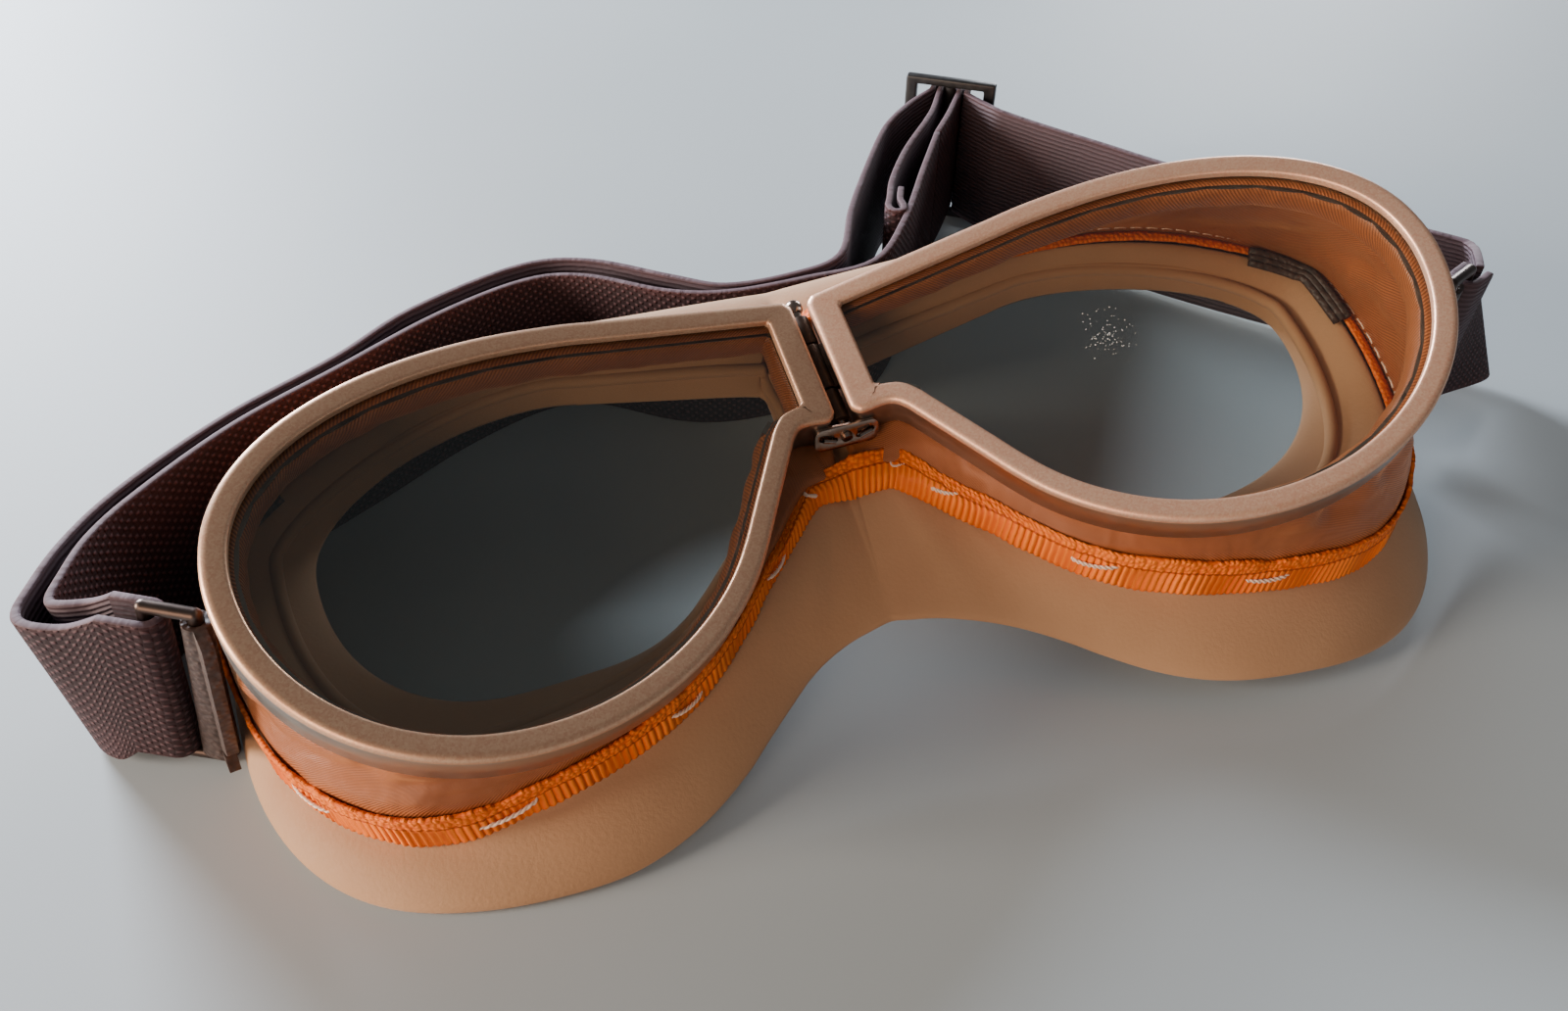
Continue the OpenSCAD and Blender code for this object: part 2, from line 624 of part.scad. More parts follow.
// Leather tabs, folded round the ring's inner bar, lying against the mask's temple; the lower
// corner is cut away where the rubber's brim rises
tab_l = 5.2;
module tab(r, heading, cut_low, cut_slope) {
  bore = wire_r + bar_clear;
  reach = 2 * tab_l;
  color(leather_colour) on_ring(r) rotate([0, 0, heading - r[1]]) difference() {
    translate([0, 0, web_low]) linear_extrude(height = strap_w) difference() {
      union() {
        circle(r = bore + tab_t / 2, $fn = round_fn);
        translate([0, -tab_t / 2]) square([tab_l, tab_t]);
      }
      circle(r = bore, $fn = round_fn);
    }
    translate([bore + tab_t, 0, cut_low]) rotate([0, -cut_slope, 0]) translate([-tab_t, -reach, -reach])
      cube([2 * reach, 2 * reach, reach]);
  }
}
module left_tab() tab(ring_side[0], -76, 4.5, 45);
module right_tab() tab(ring_side[1], 196, 3, 45);
// Stitched end of each tab, inside on the collar's top
anchor_places = [13, 17];
module tab_anchor(side) {
  rings = [
    for (c = [[-1.4, 0.5], [-1.4, 0.5 + tab_t], [-3.4, tab_t - 0.5], [-3.4, -0.3]])
      [for (j = [anchor_places[0]:anchor_places[1]]) wall_point(side, j, c[0], collar(side, j) + c[1])]
  ];
  color(leather_colour) loft(rings, side, closed = false);
}
module left_tab_anchor() tab_anchor(-1);
module right_tab_anchor() tab_anchor(1);

// Webbing along a route of its lower edge, hand-chosen where it lies: [x, y, z, then how far the
// upper edge leans over in x and y]
function web_ring(p, side, up) = [
  for (i = [0:len(p) - 1])
    let (
      a = p[max(i - 1, 0)],
      b = p[min(i + 1, len(p) - 1)],
      n = left_of(unit([b[0] - a[0], b[1] - a[1]])) * side * strap_t / 2,
      over = [p[i][3], p[i][4]] * up
    ) concat([p[i][0], p[i][1]] + n + over, max(0, p[i][2]) + up * sqrt(strap_w * strap_w - over * over))
];
module webbing(p) {
  color(web_colour)
    loft([web_ring(p, 1, 0), web_ring(p, 1, 1), web_ring(p, -1, 1), web_ring(p, -1, 0)], -1, closed = false);
}
// A point of a webbing loop round a ring's outer bar, as a route point
function ring_web(r, x, y) =
  let (
    low = at_ring(r, [ring_span + x, y, web_low]),
    high = at_ring(r, [ring_span + x, y, web_low + strap_w])
  ) [low[0], low[1], low[2], high[0] - low[0], high[1] - low[1]];
loop_r = wire_r + 0.3 + strap_t / 2;
loop_leg = 4.2;
run_start = loop_leg + 0.5;
function loop_path(r) = concat(
  [ring_web(r, loop_leg, loop_r)],
  [for (i = [0:16]) ring_web(r, loop_r * cos(90 + i * 180 / 16), loop_r * sin(90 + i * 180 / 16))],
  [ring_web(r, loop_leg, -loop_r)]
);
module left_strap_loop() webbing(loop_path(ring_side[0]));
module right_strap_loop() webbing(loop_path(ring_side[1]));

strap_z = web_low + wire_r;
outer_laid = [
  [-106.4, -9.7, 1.4, 3.4, -1.6], [-108.8, -7.2, 0.9, 1.6, -1.8], [-109.9, -4.3, 0.6, 0.9, -2],
  [-108.8, -1, 0.3, 0.6, -1.2], [-104.6, 6.4, 0, 0, 0], [-97.6, 15.2, 0, 0, 0], [-84, 26.4, 0, 0, 0],
  [-68, 35.6, 0, 0, 0], [-55, 45, 0, 0, 0], [-36, 52, 0, 0, 0], [-24, 49.5, 0, 0, 0], [-12, 39.5, 0, 0, 0],
  [-4, 33.6, 0, 0, 0], [8, 32.8, 0, 0, 0], [18, 35.8, 0, 0, 0], [26, 49.5, 0, 0, 0], [34, 61.5, 0.3, 0, 0],
  [44, 75, 1.2, 0, 0], [49.6, 80, strap_z, 0, 0]
];
inner_laid = [
  [-103.6, -7, 1.7, 3.6, -1.2], [-105.4, -5.5, 1.3, 1.9, -1.6], [-106.2, -3.6, 0.9, 1, -1.8],
  [-105, -0.6, 0.6, 0.6, -1], [-101.6, 5.6, 0.3, 0, 0], [-96, 12.8, 0, 0, 0], [-83.2, 23.8, 0, 0, 0],
  [-67.4, 32.8, 0, 0, 0], [-51, 42, 0, 0, 0], [-36, 47, 0, 0, 0], [-26, 45, 0, 0, 0], [-14, 35.4, 0, 0, 0],
  [-4, 31.4, 0, 0, 0], [10, 30.8, 0, 0, 0], [23, 31.8, 0, 0, 0], [34, 43, 0, 0, 0], [45, 58, 0.8, 0, 0],
  [53.5, 69.2, strap_z, 0, 0]
];
outer_route = concat([ring_web(ring_side[0], run_start, loop_r)], [for (p = outer_laid) laid(p)]);
inner_route = concat([ring_web(ring_side[0], run_start, -loop_r)], [for (p = inner_laid) laid(p)]);
tail_route = [[53, 74, strap_z, 0, 0], [45, 66, 1.2, 0, 0], [38, 57, 0.6, 0, 0], [33.6, 49.5, 0.4, 0, 0]];
right_laid = [
  [70, 73.46, strap_z, 0, 0], [75, 66.4, 1.4, 0, 0], [83, 54.9, 0.9, 0, 0], [93, 39.8, 0.6, -1, 1.4],
  [108, 20, 1, -3.4, 4.6], [121.6, 3.6, 2, -6, 8], [131.6, -7.4, 3, -8.4, 9], [132.4, -10.2, 3.3, -8.6, 9],
  [129, -11.8, 3.6, -7, 8.4], [118, -13.6, 5.4, -3, 4]
];
right_route = concat([for (p = right_laid) laid(p)], [ring_web(ring_side[1], run_start, 0)]);
ROUTE_STEPS = 5;
module strap_outer_run() webbing(smooth(outer_route, ROUTE_STEPS));
module strap_inner_run() webbing(smooth(inner_route, ROUTE_STEPS));
module strap_right_run() webbing(smooth(right_route, ROUTE_STEPS));
module strap_sewn_end() webbing(smooth(tail_route, ROUTE_STEPS));

// Slider, upright on the strap
slider_at = [65.5, 87];
slider_dir = -38.5;
slider_h = strap_w + 4;
slot_clear = 0.3;
module at_slider() translate([slider_at[0], slider_at[1], 0]) rotate([0, 0, slider_dir]) children();
module slider_frame() {
  rail = (slider_h - strap_w) / 2 - slot_clear;
  color(slider_colour) at_slider() difference() {
    translate([-slider_l / 2, -slider_t / 2, 0]) cube([slider_l, slider_t, slider_h]);
    translate([-slider_l / 2 + slider_post, -slider_t, rail])
      cube([slider_l - 2 * slider_post, 2 * slider_t, slider_h - 2 * rail]);
  }
}
module slider_bar() {
  rail = (slider_h - strap_w) / 2 - slot_clear;
  color(slider_colour) at_slider() translate([0, 0, rail])
    cylinder(r = slider_bar_r, h = slider_h - 2 * rail, $fn = round_fn);
}
// The webbing's two folds over the slider's bar, the running strap outside, the sewn end inside
module slider_webbing() {
  inner_r = slider_bar_r + soft_gap + strap_t / 2;
  outer_r = inner_r + strap_t + soft_gap;
  function slider_point(x, y) = slider_at + turn([x, y], slider_dir);
  function fold(r) = [for (i = [0:16]) let (a = 180 - i * 180 / 16) slider_point(r * cos(a), r * sin(a))];
  running = concat(
    smooth([[49.6, 80.04], [55.6, 84.6], slider_point(-outer_r, -1.5)], 4),
    fold(outer_r),
    smooth([slider_point(outer_r, -1.5), slider_point(6, -3.4), [69.9, 73.64]], 4)
  );
  sewn = concat(
    smooth([[53, 74.04], [57.6, 79.4], slider_point(-inner_r, -1.5)], 4),
    fold(inner_r),
    smooth([slider_point(inner_r, -1.5), [59.6, 76.2], [53.5, 69.24]], 4)
  );
  color(web_colour) translate([0, 0, strap_z]) linear_extrude(height = strap_w) {
    polygon(band(running, strap_t));
    polygon(band(sewn, strap_t));
  }
}

mask();
left_ribbon();
right_ribbon();
left_gusset();
right_gusset();
left_frame();
right_frame();
left_lens();
right_lens();
left_lens_ring();
right_lens_ring();
left_rim_clip();
right_rim_clip();
hinge_pin();
nose_bracket();
bracket_staple();
left_tab();
right_tab();
left_tab_anchor();
right_tab_anchor();
left_strap_ring();
right_strap_ring();
left_strap_loop();
right_strap_loop();
strap_outer_run();
strap_inner_run();
strap_sewn_end();
strap_right_run();
slider_webbing();
slider_frame();
slider_bar();
left_hand_stitches();
right_hand_stitches();
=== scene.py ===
# Folding tanker goggles on a table: teardrop metal eyepieces on a nose hinge, satin gussets,
# a moulded rubber mask bound with orange ribbon, and a webbing head strap with a slider.
import math

import bmesh
import bpy
from mathutils import Matrix, Vector, noise


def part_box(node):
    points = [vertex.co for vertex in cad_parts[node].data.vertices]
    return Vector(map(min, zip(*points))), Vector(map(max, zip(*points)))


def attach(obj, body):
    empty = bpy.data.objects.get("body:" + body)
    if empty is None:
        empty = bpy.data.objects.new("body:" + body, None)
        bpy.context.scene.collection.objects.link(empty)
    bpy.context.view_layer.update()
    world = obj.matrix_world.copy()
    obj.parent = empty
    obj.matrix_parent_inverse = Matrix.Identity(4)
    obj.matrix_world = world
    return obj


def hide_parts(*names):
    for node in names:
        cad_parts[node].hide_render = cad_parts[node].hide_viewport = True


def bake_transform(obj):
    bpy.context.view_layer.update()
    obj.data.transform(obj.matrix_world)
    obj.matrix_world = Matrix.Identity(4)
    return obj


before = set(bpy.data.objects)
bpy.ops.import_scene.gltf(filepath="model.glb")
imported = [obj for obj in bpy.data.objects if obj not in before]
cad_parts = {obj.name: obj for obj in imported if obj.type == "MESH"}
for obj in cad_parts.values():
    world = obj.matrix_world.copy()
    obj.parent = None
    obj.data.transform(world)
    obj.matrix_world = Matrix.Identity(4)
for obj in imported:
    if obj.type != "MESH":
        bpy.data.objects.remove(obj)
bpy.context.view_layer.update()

# ---------------------------------------------------------------- table, light and camera
# A pale painted table top, smooth and slightly blue. Low window light comes from the left and from
# behind, with a warm weak fill from the room, so the inside of the goggles lies in deep shade.


def colour(hex_text):
    """A linear colour from an sRGB hex value."""
    parts = [int(hex_text[i:i + 2], 16) / 255 for i in (1, 3, 5)]
    return [p / 12.92 if p <= 0.04045 else ((p + 0.055) / 1.055) ** 2.4 for p in parts] + [1.0]


def add(tree, kind, inputs=None, **settings):
    """Adds a node, with its settings, and sets or links its inputs."""
    made = tree.nodes.new(kind)
    for key, value in settings.items():
        setattr(made, key, value)
    for key, value in (inputs or {}).items():
        if isinstance(value, bpy.types.NodeSocket):
            tree.links.new(value, made.inputs[key])
        else:
            made.inputs[key].default_value = value
    return made


def finish(name):
    """A new material and its empty tree."""
    made = bpy.data.materials.new(name)
    made.use_nodes = True
    made.node_tree.nodes.clear()
    return made, made.node_tree


def coords(tree, kind):
    """The place on a piece, in metres: its Object coordinates or its UV map."""
    return add(tree, "ShaderNodeTexCoord").outputs[kind]


def specks(tree, where, scale, detail, **more):
    """The grey value of a noise texture."""
    return add(tree, "ShaderNodeTexNoise", {
        "Vector": where, "Scale": scale, "Detail": detail, **more}).outputs["Fac"]


def strayed(tree, where, scale, reach):
    """A place that strays by noise, up to reach."""
    wander = add(tree, "ShaderNodeTexNoise", {"Vector": where, "Scale": scale, "Detail": 2.0})
    return add(tree, "ShaderNodeVectorMath", {0: wander.outputs["Color"], 1: reach, 2: where},
               operation="MULTIPLY_ADD").outputs[0]


def calc(tree, operation, *values):
    """The result of an operation on values or sockets."""
    return add(tree, "ShaderNodeMath", dict(enumerate(values)), operation=operation).outputs[0]


def within(tree, value, low, high, start=0.0, stop=1.0):
    """A value that runs from start to stop, made to run from low to high."""
    return add(tree, "ShaderNodeMapRange", {
        "Value": value, 1: start, 2: stop, 3: low, 4: high}).outputs[0]


def shade(tree, share, one, other, **settings):
    """One colour running into the other by a share; each is a hex value or a socket."""
    one, other = (colour(c) if isinstance(c, str) else c for c in (one, other))
    return add(tree, "ShaderNodeMix", {0: share, 6: one, 7: other}, data_type="RGBA",
               **settings).outputs[2]


def bump(tree, height, strength, depth, under=None, **settings):
    """A normal from a height, over a coarser one if there is one."""
    inputs = {"Height": height, "Strength": strength, "Distance": depth}
    if under:
        inputs["Normal"] = under
    return add(tree, "ShaderNodeBump", inputs, **settings).outputs[0]


def surface(tree, inputs):
    """Ends a tree in its shader."""
    shader = add(tree, "ShaderNodeBsdfPrincipled", inputs)
    add(tree, "ShaderNodeOutputMaterial", {"Surface": shader.outputs[0]})


def mottled(name, dark, light, scale, rough, detail=3.0, relief=None, more=None):
    """A finish whose tone wanders, with its roughness if that is a range, and its relief."""
    made, tree = finish(name)
    fac = specks(tree, coords(tree, "Object"), scale, detail)
    sockets = {"Base Color": shade(tree, fac, dark, light), "Roughness": rough, **(more or {})}
    if isinstance(rough, tuple):
        sockets["Roughness"] = within(tree, fac, *rough)
    if relief:
        sockets["Normal"] = bump(tree, fac, *relief)
    surface(tree, sockets)
    return made


# Rolled on and matt, with large faint clouds
painted_table = mottled("painted_table_top", "#a3acb0", "#b0b9bc", 6.0, 0.6)

TABLE_HALF_M = 3.0
bm = bmesh.new()
bmesh.ops.create_grid(bm, x_segments=1, y_segments=1, size=TABLE_HALF_M)
mesh = bpy.data.meshes.new("table")
bm.to_mesh(mesh)
bm.free()
mesh.materials.append(painted_table)
table = bpy.data.objects.new("table", mesh)
bpy.context.scene.collection.objects.link(table)


def lamp(name, place, towards, size, power, tint):
    """A round soft lamp: where it is and what it faces, its size in metres and its watts."""
    data = bpy.data.lights.new(name, "AREA")
    data.shape = "DISK"
    data.size = size
    data.energy = power
    data.color = colour(tint)[:3]
    made = bpy.data.objects.new(name, data)
    made.location = place
    made.rotation_euler = (Vector(towards) - Vector(place)).to_track_quat("-Z", "Y").to_euler()
    bpy.context.scene.collection.objects.link(made)


lamp("window_left", (-0.95, 0.12, 0.26), (-0.03, 0, 0.02), 0.40, 17.0, "#ffeede")
lamp("window_back", (-0.45, 1.05, 0.42), (0.03, 0.08, 0.02), 0.50, 46.0, "#ecf3ff")
lamp("room_front", (-0.85, -0.7, 0.30), (-0.02, 0, 0.02), 0.6, 6.6, "#ffdcc0")
lamp("far_right", (0.95, 0.95, 0.30), (0.15, 0.1, 0.02), 0.50, 12.0, "#f0f4fa")
world = bpy.data.worlds.new("studio")
bpy.context.scene.world = world
world.use_nodes = True
sky = world.node_tree.nodes["Background"].inputs
sky["Color"].default_value = colour("#ccd3da")
sky["Strength"].default_value = 0.24

data = bpy.data.cameras.new("camera")
data.lens = 26.0
data.sensor_width = 36.0
data.clip_start = 0.01
camera = bpy.data.objects.new("camera", data)
camera.location = (-0.05358, -0.12477, 0.13317)
camera.rotation_euler = (math.radians(46.5), 0.0, math.radians(-20.8))
bpy.context.scene.collection.objects.link(camera)
bpy.context.scene.camera = camera

# ---------------------------------------------------------------- rubber face mask
# A soft moulded rubber frame for the face: a thin brim, a rounded shoulder up to the seam, and a
# collar round each eye hole. It is cast in one piece, in a tan like old latex, and dusty matt.

tan_rubber, tree = finish("moulded_tan_rubber")
# Matt, with a faint mottle from the mould and a fine grain
where = coords(tree, "Object")
grain = specks(tree, where, 1800.0, 2.0)
surface(tree, {
    "Base Color": shade(tree, specks(tree, where, 70.0, 4.0), "#ae825c", "#bf946e"),
    "Roughness": within(tree, grain, 0.62, 0.82), "Normal": bump(tree, grain, 0.12, 0.0004),
    "Sheen Weight": 0.15, "Sheen Roughness": 0.5})

# From here on lengths are in millimetres, and become metres where a mesh is made.
# Side -1 is the left eye in the picture and side 1 the right one.
SIDE = {-1: "left", 1: "right"}
HINGE = Vector((0, 1.4, 31.1))
PITCH = math.radians(21.3)  # how far the hinge's line and both eyepieces lean back
LOWEST_TILT = {-1: math.radians(6.5), 1: math.radians(12)}  # of each eyepiece, folded down
FACE_RISE = 3.4  # the frame's face above the hinge's line
FRAME_DEPTH = 7.0
WALL_LOW = FACE_RISE - FRAME_DEPTH
SHOULDER = 5.5  # the seam's foot above the mask's surface
COLLAR = 6.5
RUBBER = 1.8
RIBBON_W = 6.5
MASK_TURN = math.radians(-2.2)  # the mask lies slightly turned on the table
BROW_SLOPE = math.tan(math.radians(15))
RIGHT_RISE = math.tan(math.radians(3.5))


def clamp(v):
    return max(0.0, min(1.0, v))


def bezier(a, b, c, d, t):
    return (1 - t) ** 3 * a + 3 * t * (1 - t) ** 2 * b + 3 * t * t * (1 - t) * c + t ** 3 * d


def stretch(a, b, c, d, n, off):
    """n points of a curve after its first, off to its inner side."""
    run = []
    for i in range(1, n + 1):
        p, q = bezier(a, b, c, d, i / n), bezier(a, b, c, d, i / n - 0.01)
        way = (p - q).normalized()
        run.append(p + off * Vector((way.y, -way.x)))
    return run


def teardrop(nose_x, top_y, top, temple, low, da, db, notch, corner, off=0.0, nose_off=0.0):
    """The closed teardrop line, off inwards, as 46 points from the top of the nose side."""
    top, temple, low, da, db, notch = (Vector(p) for p in (top, temple, low, da, db, notch))
    rc = max(corner - off / 2, 0.8)
    x0, y1, y0 = nose_x + nose_off, top_y - off, notch.y + off
    along, run = (da - db).normalized(), (da - db).length
    line = [Vector((x0 + rc - rc * math.cos(a), y1 - rc + rc * math.sin(a)))
            for a in (math.pi / 6 * i for i in range(4))]
    line += [Vector((x0 + rc, y1)).lerp(top - Vector((0, off)), i / 5) for i in range(1, 6)]
    line += stretch(top, Vector((top.x + (temple.x - top.x) * 0.5625, top.y)),
                    Vector((temple.x, temple.y + (top.y - temple.y) * 0.616)), temple, 8, off)
    line += stretch(temple, Vector((temple.x, temple.y + (low.y - temple.y) * 0.55)),
                    Vector((low.x + (temple.x - low.x) * 0.56, low.y)), low, 8, off)
    line += stretch(low, Vector((low.x + (da.x - low.x) * 0.45, low.y)),
                    da + 0.75 * run * along, da, 7, off)
    line += [da.lerp(db, i / 3) + off * Vector((-along.y, along.x)) for i in range(1, 4)]
    line += stretch(db, db - 0.14 * run * along, notch + Vector((2, 0)), notch, 3, off)
    line += [Vector((x0 + rc - rc * math.sin(a), y0 + rc - rc * math.cos(a)))
             for a in (math.pi / 6 * i for i in range(4))]
    line += [Vector((x0, y0 + rc)).lerp(Vector((x0, y1 - rc)), i / 5) for i in range(1, 5)]
    return line


SEAM = teardrop(2.2, 16, (40, 17), (88.8, 1), (61, -42.5), (23, -28.5), (11.5, -16.5),
                (5.5, -12.4), 2)
HOLE = teardrop(6.5, 8.5, (40, 14.5), (77, 0), (50, -26.5), (24, -19.5), (12, -9), (9, -5.5), 2)
STATIONS = len(SEAM)


def face_z(x, y):
    """Height of the mask's surface, as it lies, falling away towards the temples."""
    slope = BROW_SLOPE if y > 0 else math.tan(PITCH)
    drop = (9 if x > 0 else 13.6) * (max(0, abs(x) - 40) / 51) ** 2
    return max(0, 19.5 + slope * y + max(0, x) * RIGHT_RISE - drop)


def mask_point(side, p, rise):
    """A point of the mask, p across it and rise above its surface; the right temple is spread."""
    x = -p.x if side < 0 else p.x + 6.5 * (p.x / 91.5) ** 2 * clamp((10 - p.y) / 40)
    a = MASK_TURN
    return Vector((x * math.cos(a) - p.y * math.sin(a), x * math.sin(a) + p.y * math.cos(a),
                   face_z(x, p.y) + rise))


def base(j):
    """Height of the collar's foot at station j."""
    return SHOULDER - 2.2 * clamp((SEAM[j].y + 2) / 14)


def nose_share(j):
    return clamp(1 - (SEAM[j].x - 3) / 12)


def room(side, j):
    """Height above the mask's surface of the frame's rear edge, folded down."""
    q = mask_point(side, SEAM[j], 0)
    t = LOWEST_TILT[side]
    n = (WALL_LOW - 0.5 + abs(q.x) * math.sin(t)) / math.cos(t)
    return HINGE.z + (n + (q.y - HINGE.y) * math.sin(PITCH)) / math.cos(PITCH) - q.z


def collar(side, j):
    """Height of the collar's top at station j, lower at the nose and below the frame."""
    nose_h = 0.9 if j >= STATIONS - 7 or j < 2 else 3.5
    return min(base(j) + COLLAR - nose_share(j) * (COLLAR - nose_h), room(side, j) - 0.3)


def lean(j, rise):
    """How far the collar leans inwards at a height."""
    share = 2.6 * nose_share(j) if SEAM[j].y < -8 else 1.5 * clamp(SEAM[j].y / 14)
    return share * max(0, rise - base(j)) / RIBBON_W


def wall_point(side, j, d, rise):
    """A point d outside the seam's line and rise above the mask's surface, at station j."""
    way = (SEAM[(j + 1) % STATIONS] - SEAM[j - 1]).normalized()
    return mask_point(side, SEAM[j] + (d - lean(j, rise)) * Vector((-way.y, way.x)), rise)


def finer(ring, times, closed=True):
    """A rounder line through the same points."""
    n = len(ring)
    made = []
    for i in range(n if closed else n - 1):
        a = ring[i - 1] if closed or i else ring[0]
        b, c = ring[i], ring[(i + 1) % n]
        d = ring[(i + 2) % n] if closed or i + 2 < n else ring[-1]
        made += [bezier(b, b + (c - a) / 6, c - (d - b) / 6, c, k / times) for k in range(times)]
    return made if closed else made + [ring[-1]]


def started(bm, ring, closed, layer):
    """The first line of a swept shape, with each point's number kept in the layer."""
    start = [bm.verts.new(p * 0.001) for p in ring]
    for i, v in enumerate(start):
        v[layer] = i
    n = len(ring)
    return [bm.edges.new((start[i], start[(i + 1) % n])) for i in range(n if closed else n - 1)]


def extruded(bm, edges, ring, layer):
    """Extrudes a line on to the next ring, and gives its new edges and points."""
    made = bmesh.ops.extrude_edge_only(bm, edges=edges)["geom"]
    fresh = {g for g in made if isinstance(g, bmesh.types.BMVert)}
    for v in fresh:
        v.co = ring[v[layer]] * 0.001
    return [g for g in made if isinstance(g, bmesh.types.BMEdge) and set(g.verts) <= fresh], fresh


def tube(bm, path, radius, sides):
    """Adds a round tube with closed ends along a path to the bmesh."""
    layer = bm.verts.layers.int.get("around") or bm.verts.layers.int.new("around")
    for k, p in enumerate(path):
        way = (path[min(k + 1, len(path) - 1)] - path[max(k - 1, 0)]).normalized()
        a = way.orthogonal().normalized() if k == 0 else (a - way * a.dot(way)).normalized()
        b = way.cross(a)
        turns = [2 * math.pi * i / sides for i in range(sides)]
        ring = [p + radius * (a * math.cos(t) + b * math.sin(t)) for t in turns]
        if k == 0:
            edges = first = started(bm, ring, True, layer)
        else:
            edges, _ = extruded(bm, edges, ring, layer)
    bmesh.ops.holes_fill(bm, edges=first + edges, sides=sides)


def piece(name, bm, body, materials, replaces=(), sharp=0):
    """A finished piece from its bmesh, on its body, with edges sharp past an angle in degrees."""
    mesh = bpy.data.meshes.new(name)
    for face in bm.faces:
        face.smooth = True
    bm.to_mesh(mesh)
    bm.free()
    for m in materials:
        mesh.materials.append(m)
    if sharp:
        mesh.set_sharp_from_angle(angle=math.radians(sharp))
    made = bpy.data.objects.new(name, mesh)
    bpy.context.scene.collection.objects.link(made)
    if body:
        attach(made, body)
    if replaces:
        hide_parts(*replaces)
    return made


def tubes(name, paths, radius, sides, material, replaces=()):
    """A piece of round tubes, one along each path, on the mask."""
    bm = bmesh.new()
    for path in paths:
        tube(bm, path, radius, sides)
    bmesh.ops.recalc_face_normals(bm, faces=bm.faces)
    piece(name, bm, "mask_and_strap", [material], replaces)


def copy_of(node):
    """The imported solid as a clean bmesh, its loose triangles merged and joined."""
    bm = bmesh.new()
    bm.from_mesh(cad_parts[node].data)
    bmesh.ops.remove_doubles(bm, verts=bm.verts, dist=1e-6)
    bmesh.ops.dissolve_degenerate(bm, edges=bm.edges, dist=1e-7)
    return bm


def smooth_levels(made, levels):
    m = made.modifiers.new("smooth", "SUBSURF")
    m.levels = m.render_levels = levels


bm = copy_of("mask")
bmesh.ops.join_triangles(bm, faces=bm.faces, angle_face_threshold=0.9, angle_shape_threshold=1.2)
# The cheek brims splay out a little under their own weight
SPLAY = 2.8
for v in bm.verts:
    q = v.co * 1000
    low = clamp((9 - q.z) / 6)
    if q.x < 0:
        share = clamp((q.x + 68) / 22) * clamp((-8 - q.x) / 12) * (q.y < -15)
        away = Vector((q.x + 52, q.y + 10, 0)).normalized() * SPLAY
    else:
        share = clamp((q.x - 18) / 24) * clamp((-4 - q.y) / 16)
        away = Vector((q.x - 50, q.y + 5, 0)).normalized() * (SPLAY - 1.2 * clamp((q.x - 60) / 30))
    v.co += away * 0.001 * low * share
# The right eye hole reaches further towards the temple
HOLE_REACH = 5.5
hole_edge = [mask_point(1, h, rise) for h in HOLE for rise in (0, RUBBER)]
for v in bm.verts:
    q = v.co * 1000
    if min((q - e).length for e in hole_edge) < 0.6:
        v.co.x += HOLE_REACH * 0.001 * clamp((q.x - 56) / 22)
# The bridge is one smooth saddle
bridge = [v for v in bm.verts
          if abs(v.co.x) < 0.008 and -0.030 < v.co.y < -0.0145 and v.co.z > 0.006]
for _ in range(4):
    bmesh.ops.smooth_vert(bm, verts=bridge, factor=0.5, use_axis_x=False, use_axis_y=True,
                          use_axis_z=True)
mask_rubber = piece("mask_rubber", bm, "mask_and_strap", [tan_rubber], ["mask"])
smooth_levels(mask_rubber, 2)

# The moulding's bead, a low roll of rubber half way down each eye hole's slope
BEAD_R = 1.0
for side in (-1, 1):
    line = []
    for j in [*range(STATIONS), 0]:
        wide = (HOLE[j] - SEAM[j]).length
        high = wall_point(side, j, -min(3, 0.5 * wide), collar(side, j) - 1)
        line.append(high.lerp(mask_point(side, HOLE[j], RUBBER), 0.45) + Vector((0, 0, -0.35)))
    tubes(f"{SIDE[side]}_moulded_bead", [finer(line, 3, closed=False)], BEAD_R, 12,
          tan_rubber)

# ---------------------------------------------------------------- cloth gussets
# Satin-woven copper nylon, cut as a strip and gathered: sewn to the rubber's collar below and
# clamped inside the frame's wall above, so its slack stands in shallow puckers.

satin_nylon, tree = finish("satin_woven_nylon")
# A fine diagonal weave with a silky shine; its real pitch is 0.2 mm, drawn at 0.45 mm to show
lay, where = coords(tree, "UV"), coords(tree, "Object")
turned = add(tree, "ShaderNodeMapping", {"Vector": lay, "Rotation": (0, 0, math.radians(38))})
weave = add(tree, "ShaderNodeTexWave", {
    "Vector": turned.outputs[0], "Scale": 700.0, "Distortion": 0.6, "Detail": 1.0,
    "Detail Scale": 0.5}, wave_type="BANDS").outputs["Fac"]
tone = shade(tree, specks(tree, where, 90.0, 3.0), "#9a5228", "#c67a48")
folds = bump(tree, specks(tree, where, 120.0, 2.0, Distortion=0.5), 0.32, 0.003)
surface(tree, {
    "Base Color": shade(tree, weave, "#7c4424", tone), "Roughness": 0.42,
    "Normal": bump(tree, weave, 0.25, 0.0003, folds),
    "Sheen Weight": 0.5, "Sheen Roughness": 0.35, "Sheen Tint": colour("#e0a070")})

BODY = {-1: "left_eyepiece", 1: "right_eyepiece"}
TILT = {-1: math.radians(8), 1: math.radians(18)}  # how far each eyepiece is folded up at rest
NOSE_GAP = 1.85  # from the hinge's line to the frame's nose edge


def rim(off, nose_off=None):
    """The eyepiece's outer edge, off inwards."""
    return teardrop(0, 10.9, (36, 11.9), (84, -16.5), (51.5, -46.5), (17, -27.5), (8.6, -13.9),
                    (4.5, -10.4), 1.8, off, off if nose_off is None else nose_off)


